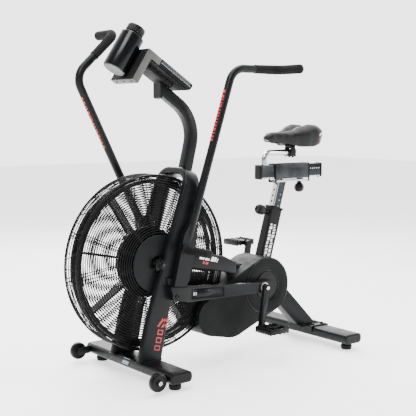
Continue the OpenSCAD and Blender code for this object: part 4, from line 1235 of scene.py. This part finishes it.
def make_console():
    """The shell with its button wells, its side strips, the hooded bezel, the display and the buttons."""
    place = console_frame()
    half = 0.078
    body = bmesh.new()
    outline = [(0.0705, -0.031), (0.0705, -0.001), (0.072, 0.0), (0.236, 0.0), (0.2405, -0.0035), (0.242, -0.009),
               (0.2395, -0.024), (0.232, -0.031)]
    prism(body, outline, -half, half, 0.0018, 2, place)
    shell = add_piece("console_shell", body, "black_plastic", "frame", "black_plastic", ("console_body",))
    buttons = {"button_start": 0.048, "button_mode": 0.062}
    wells = bmesh.new()
    for y in buttons.values():
        lathe(wells, [(0, -0.0065), (0.0058, -0.0065), (0.0058, 0.004), (0, 0.004)],
              place @ moved(0.150, y, 0), 32)
    bore(shell, wells)
    strip = bmesh.new()
    for y in (-half, half):
        side = math.copysign(1, y)
        block(strip, place @ moved(0.152, y + side * 0.0002, -0.0078), (0.158, 0.0016, 0.0128), 0.0006, 2)
    add_piece("console_side_strips", strip, "trim_grey", "frame", "grey_steel")
    line = bmesh.new()
    for y in (-half, half):
        block(line, place @ moved(0.154, y + math.copysign(0.0006, y), -0.0152),
              (0.162, 0.0016, 0.0013), 0.0004, 1)
    add_piece("console_seam_line", line, "label", "frame", "grey_steel")
    flange = bmesh.new()
    block(flange, place @ moved(0.130, 0, -0.0325), (0.196, 2 * half - 0.006, 0.0024), 0.0008, 2)
    add_piece("console_flange", flange, "black_rubber", "frame", "grey_steel")
    bezel = bmesh.new()
    screen_low, screen_high = (0.090, -0.062), (0.210, 0.038)
    middle = ((screen_low[0] + screen_high[0]) / 2, (screen_low[1] + screen_high[1]) / 2)
    hu, hv = (screen_high[0] - screen_low[0]) / 2, (screen_high[1] - screen_low[1]) / 2
    rings = []
    for grow, z in ((0.004, 0.0), (0.0035, 0.0016), (0.0010, 0.0022), (-0.0006, 0.0010), (-0.0010, -0.0003)):
        rings.append([place @ Vector((middle[0] + a, middle[1] + b, z))
                      for a, b in rounded_rect(hu + grow, hv + grow, 0.005 + grow * 0.5, 4)])
    rings.append([place @ Vector((middle[0] + a, middle[1] + b, -0.0008))
                  for a, b in rounded_rect(hu + 0.003, hv + 0.003, 0.005, 4)])
    loft(bezel, rings, closed=True)
    hood = [(0.206, 0.0), (0.206, 0.003), (0.216, 0.0085), (0.228, 0.0120), (0.2345, 0.0118), (0.2345, 0.0098),
            (0.228, 0.0095), (0.222, 0.0040), (0.224, 0.0)]
    prism(bezel, hood, -0.052, 0.052, 0.0006, 1, place)
    add_piece("console_bezel", bezel, "black_plastic", "frame")
    display = bmesh.new()
    rows = ((-0.050, 0.012, 0.030), (-0.026, 0.012, 0.030), (0.000, 0.012, 0.030), (0.024, 0.012, 0.022))
    for y, w, h in rows:
        for x in (0.108, 0.142, 0.176):
            block(display, place @ moved(x, y, -0.0006), (h * 0.75, w, 0.0006), 0.0002, 1)
    add_piece("display_cells", display, "label", "frame", "screen")
    glass = bmesh.new()
    block(glass, place @ moved(middle[0], middle[1], -0.0022),
          (2 * hu - 0.001, 2 * hv - 0.001, 0.0034), 0.0008, 2)
    add_piece("screen_glass", glass, "screen", "frame", "screen", ("console_screen",))
    for node, y in buttons.items():
        cap = bmesh.new()
        lathe(cap, [(0, -0.0035), (0.0049, -0.0035), (0.0050, 0.0010), (0.0046, 0.0021), (0.0036, 0.0025),
                    (0.0028, 0.0020), (0, 0.0018)], place @ moved(0.150, y, 0), 32)
        name = node.replace("button_", "") + "_button"
        add_piece(node + "_cap", cap, "label", name, "grey_steel", (node,))


def make_console_bracket():
    """The angled shelf: a grey folded plate with black front and a clamp box under the console."""
    softened("console_bracket", 0.0012, "bracket", 2)
    place = console_frame()
    below = -(place.to_3x3() @ Vector((0, 0, 1)))
    low_edge = -0.138
    skins = bmesh.new()
    block(skins, place @ moved(-0.0004, 0, low_edge / 2), (0.0012, 0.152, -low_edge - 0.003), 0.0005, 1)
    block(skins, place @ moved(0.1072, 0, -0.0405), (0.1568, 0.0812, 0.0196), 0.001, 2)
    for y in (-0.0404, 0.0404):
        for x in (0.060, 0.105, 0.150):
            cap_screw(skins, frame_at(place @ Vector((x, y, -0.041)), (0, math.copysign(1, y), 0)), 0.0035, 0.0018)
    for x in (0.055, 0.172):
        for y in (-0.030, 0.030):
            hex_bolt(skins, frame_at(place @ Vector((x, y, -0.050)), below), 0.005, 0.005)
    add_piece("bracket_front_skin", skins, "black_rubber", "frame", "black_plastic")
    bolts = bmesh.new()
    for y in (-0.05, 0, 0.05):
        spot = place @ Vector((0.014, y, low_edge))
        cap_screw(bolts, frame_at(spot, below), 0.004, 0.0015)
    add_piece("bracket_edge_screws", bolts, "black_plastic", "frame")


def make_bottle():
    """A glossy open cup with a grey base, and the bottle's body, ribbed cap and clear spout."""
    cup_r, cup_len = 0.046, 0.152
    place = console_frame(-0.0465, 0, -0.126)
    cup = bmesh.new()
    lathe(cup, [(0, 0.0), (cup_r - 0.006, 0.0), (cup_r - 0.002, 0.0012), (cup_r, 0.005), (cup_r, cup_len - 0.0015),
                (cup_r - 0.0012, cup_len), (cup_r - 0.0022, cup_len - 0.001), (cup_r - 0.0025, 0.004),
                (0, 0.003)], place, 96)
    block(cup, place @ moved(cup_r - 0.0036, 0, 0.055), (0.0082, 0.032, 0.070), 0.001, 2)
    add_piece("cup_shell", cup, "gloss_black", "frame", "gloss_black", ("bottle_cup",))
    base = bmesh.new()
    lathe(base, [(0, -0.0008), (cup_r - 0.0065, -0.0008), (cup_r - 0.0055, 0.0004), (0, 0.0006)], place, 64)
    add_piece("cup_base_disc", base, "bracket", "frame", "gloss_black")
    bottle = bmesh.new()
    lift = place @ moved(0, 0, 0.003)
    lathe(bottle, [(0, 0.0002), (0.036, 0.0002), (0.0405, 0.002), (0.042, 0.006), (0.042, 0.121), (0.040, 0.127),
                   (0.034, 0.130), (0.028, 0.132), (0.028, 0.141), (0, 0.141)], lift, 64)
    add_piece("bottle_body", bottle, "black_plastic", "bottle", "gloss_black", ("bottle",))
    cap = bmesh.new()
    lathe(cap, [(0, 0.1405), (0.0345, 0.1405), (0.0358, 0.142), (0.0358, 0.150), (0.0335, 0.152), (0.0335, 0.156),
                (0.036, 0.158), (0.036, 0.182), (0.0345, 0.187), (0.028, 0.1885), (0.013, 0.1885), (0.012, 0.187),
                (0, 0.187)], lift, 96,
          lambda a, r, h: 0.965 if math.cos(24 * a) > 0.4 and 0.156 < h < 0.183 and r > 0.034 else 1)
    add_piece("bottle_cap", cap, "black_plastic", "bottle", "black_plastic", (), 30)
    spout = bmesh.new()
    lathe(spout, [(0, 0.186), (0.0112, 0.186), (0.0112, 0.191), (0.0085, 0.193), (0.0085, 0.1975), (0.0075, 0.198),
                  (0.0035, 0.198), (0, 0.196)], lift, 32)
    add_piece("bottle_spout", spout, "spout", "bottle", "gloss_black")


# ---- marks and small trim ----


def flat_patch(bm, origin, u, v, width, height):
    """A printed rectangle with one corner at origin."""
    quad = [origin, origin + u * width, origin + u * width + v * height, origin + v * height]
    bm.faces.new([bm.verts.new(p) for p in quad])


def open_frame(bm, corner, u, v, width, height, stroke):
    """A printed rectangle outline."""
    flat_patch(bm, corner, u, v, width, stroke)
    flat_patch(bm, corner + v * (height - stroke), u, v, width, stroke)
    flat_patch(bm, corner + v * stroke, u, v, stroke, height - 2 * stroke)
    flat_patch(bm, corner + v * stroke + u * (width - stroke), u, v, stroke, height - 2 * stroke)


def make_marks():
    """Generic bars and frames where such a machine has its printed marks."""
    leg = bmesh.new()
    tube_marks = bmesh.new()
    stay_white = bmesh.new()
    stay_red = bmesh.new()
    place = seat_frame()
    turn = place.to_3x3()
    for side in (-1, 1):
        way = Vector((0.044, 0, 0.172)).normalized()
        flat = Vector((way.z, 0, -way.x))
        start = at(0.008, side * 0.1082, 0.114)
        for position, tall in ((0.0, 0.020), (0.029, 0.022), (0.060, 0.020)):
            open_frame(leg, start + way * position, flat, way, 0.026, tall, 0.0045)
        top = start + way * 0.090 - flat * 0.008
        for offset, lean in ((0.0, 0.55), (0.020, 0.55), (0.020, -0.55)):
            flat_patch(leg, top + flat * (offset + (0.020 if lean < 0 else 0)), flat, way + flat * lean, 0.010, 0.036)
        for x in (-0.019, 0.001):
            z = 0.064
            while z < 0.212:
                tall = random.choice((0.006, 0.009, 0.013))
                width = random.choice((0.010, 0.0145))
                origin = place @ Vector((x + random.choice((0, 0.001)), side * 0.0222, z))
                flat_patch(tube_marks, origin, turn @ Vector((1, 0, 0.22)).normalized(), turn @ Vector((0, 0, 1)),
                           width, min(tall, 0.216 - z))
                z += tall + 0.0045
        stay_u = Vector((math.cos(math.radians(-14)), 0, math.sin(math.radians(-14))))
        stay_v = Vector((-stay_u.z, 0, stay_u.x))
        origin = at(0.226, side * 0.1053, 0.434)
        slant = stay_v + stay_u * 0.25
        for i, width in enumerate((0.012, 0.009, 0.011, 0.006, 0.012, 0.010, 0.005)):
            tall = 0.018 if i % 3 else 0.014
            flat_patch(stay_white, origin + stay_u * (i * 0.0145) + stay_v * 0.010, stay_u, slant, width, tall)
        for i, width in enumerate((0.009, 0.012)):
            flat_patch(stay_red, origin + stay_u * (0.020 + i * 0.014) - stay_v * 0.006, stay_u, slant, width, 0.010)
    add_piece("leg_red_marks", leg, "red_print", "frame", "charcoal_paint")
    add_piece("seat_tube_bars", tube_marks, "white_print", "frame", "charcoal_paint")
    add_piece("stay_white_bars", stay_white, "white_print", "frame", "charcoal_paint")
    add_piece("stay_red_bars", stay_red, "red_print", "frame", "charcoal_paint")
    label = bmesh.new()
    block(label, Matrix.Translation(at(-0.0495, 0.0, 0.058)) @ Matrix.Rotation(math.radians(-62), 4, "Y"),
          (0.024, 0.042, 0.0012), 0.0004, 1)
    add_piece("blank_plate", label, "label", "frame", "charcoal_paint")


# ---- build ----

for node, width in {"upper_stays": 0.007, "main_spine": 0.006, "seat_tube": 0.006, "rear_strut": 0.006,
                    "seat_collar": 0.002}.items():
    softened(node, width)
softened("mast", 0.007, pick=lambda a, b: abs(a.y - b.y) < 0.001 and a.z < MAST_BEND_TOP, shortest=0.4)
make_stabilisers()
make_feet()
make_wheels()
make_fork()
make_mast_cap()
make_rear_details()
make_grilles()
make_rim()
make_rotor()
make_axle_hardware()
make_casing()
make_crank()
make_pedals()
for arm_name in SIDES:
    make_arm(arm_name)
    make_rod_details(arm_name)
make_pegs()
make_seat_tube_details()
make_knobs()
make_slider()
make_post()
make_saddle_hardware()
make_saddle()
make_console()
make_console_bracket()
make_bottle()
make_marks()
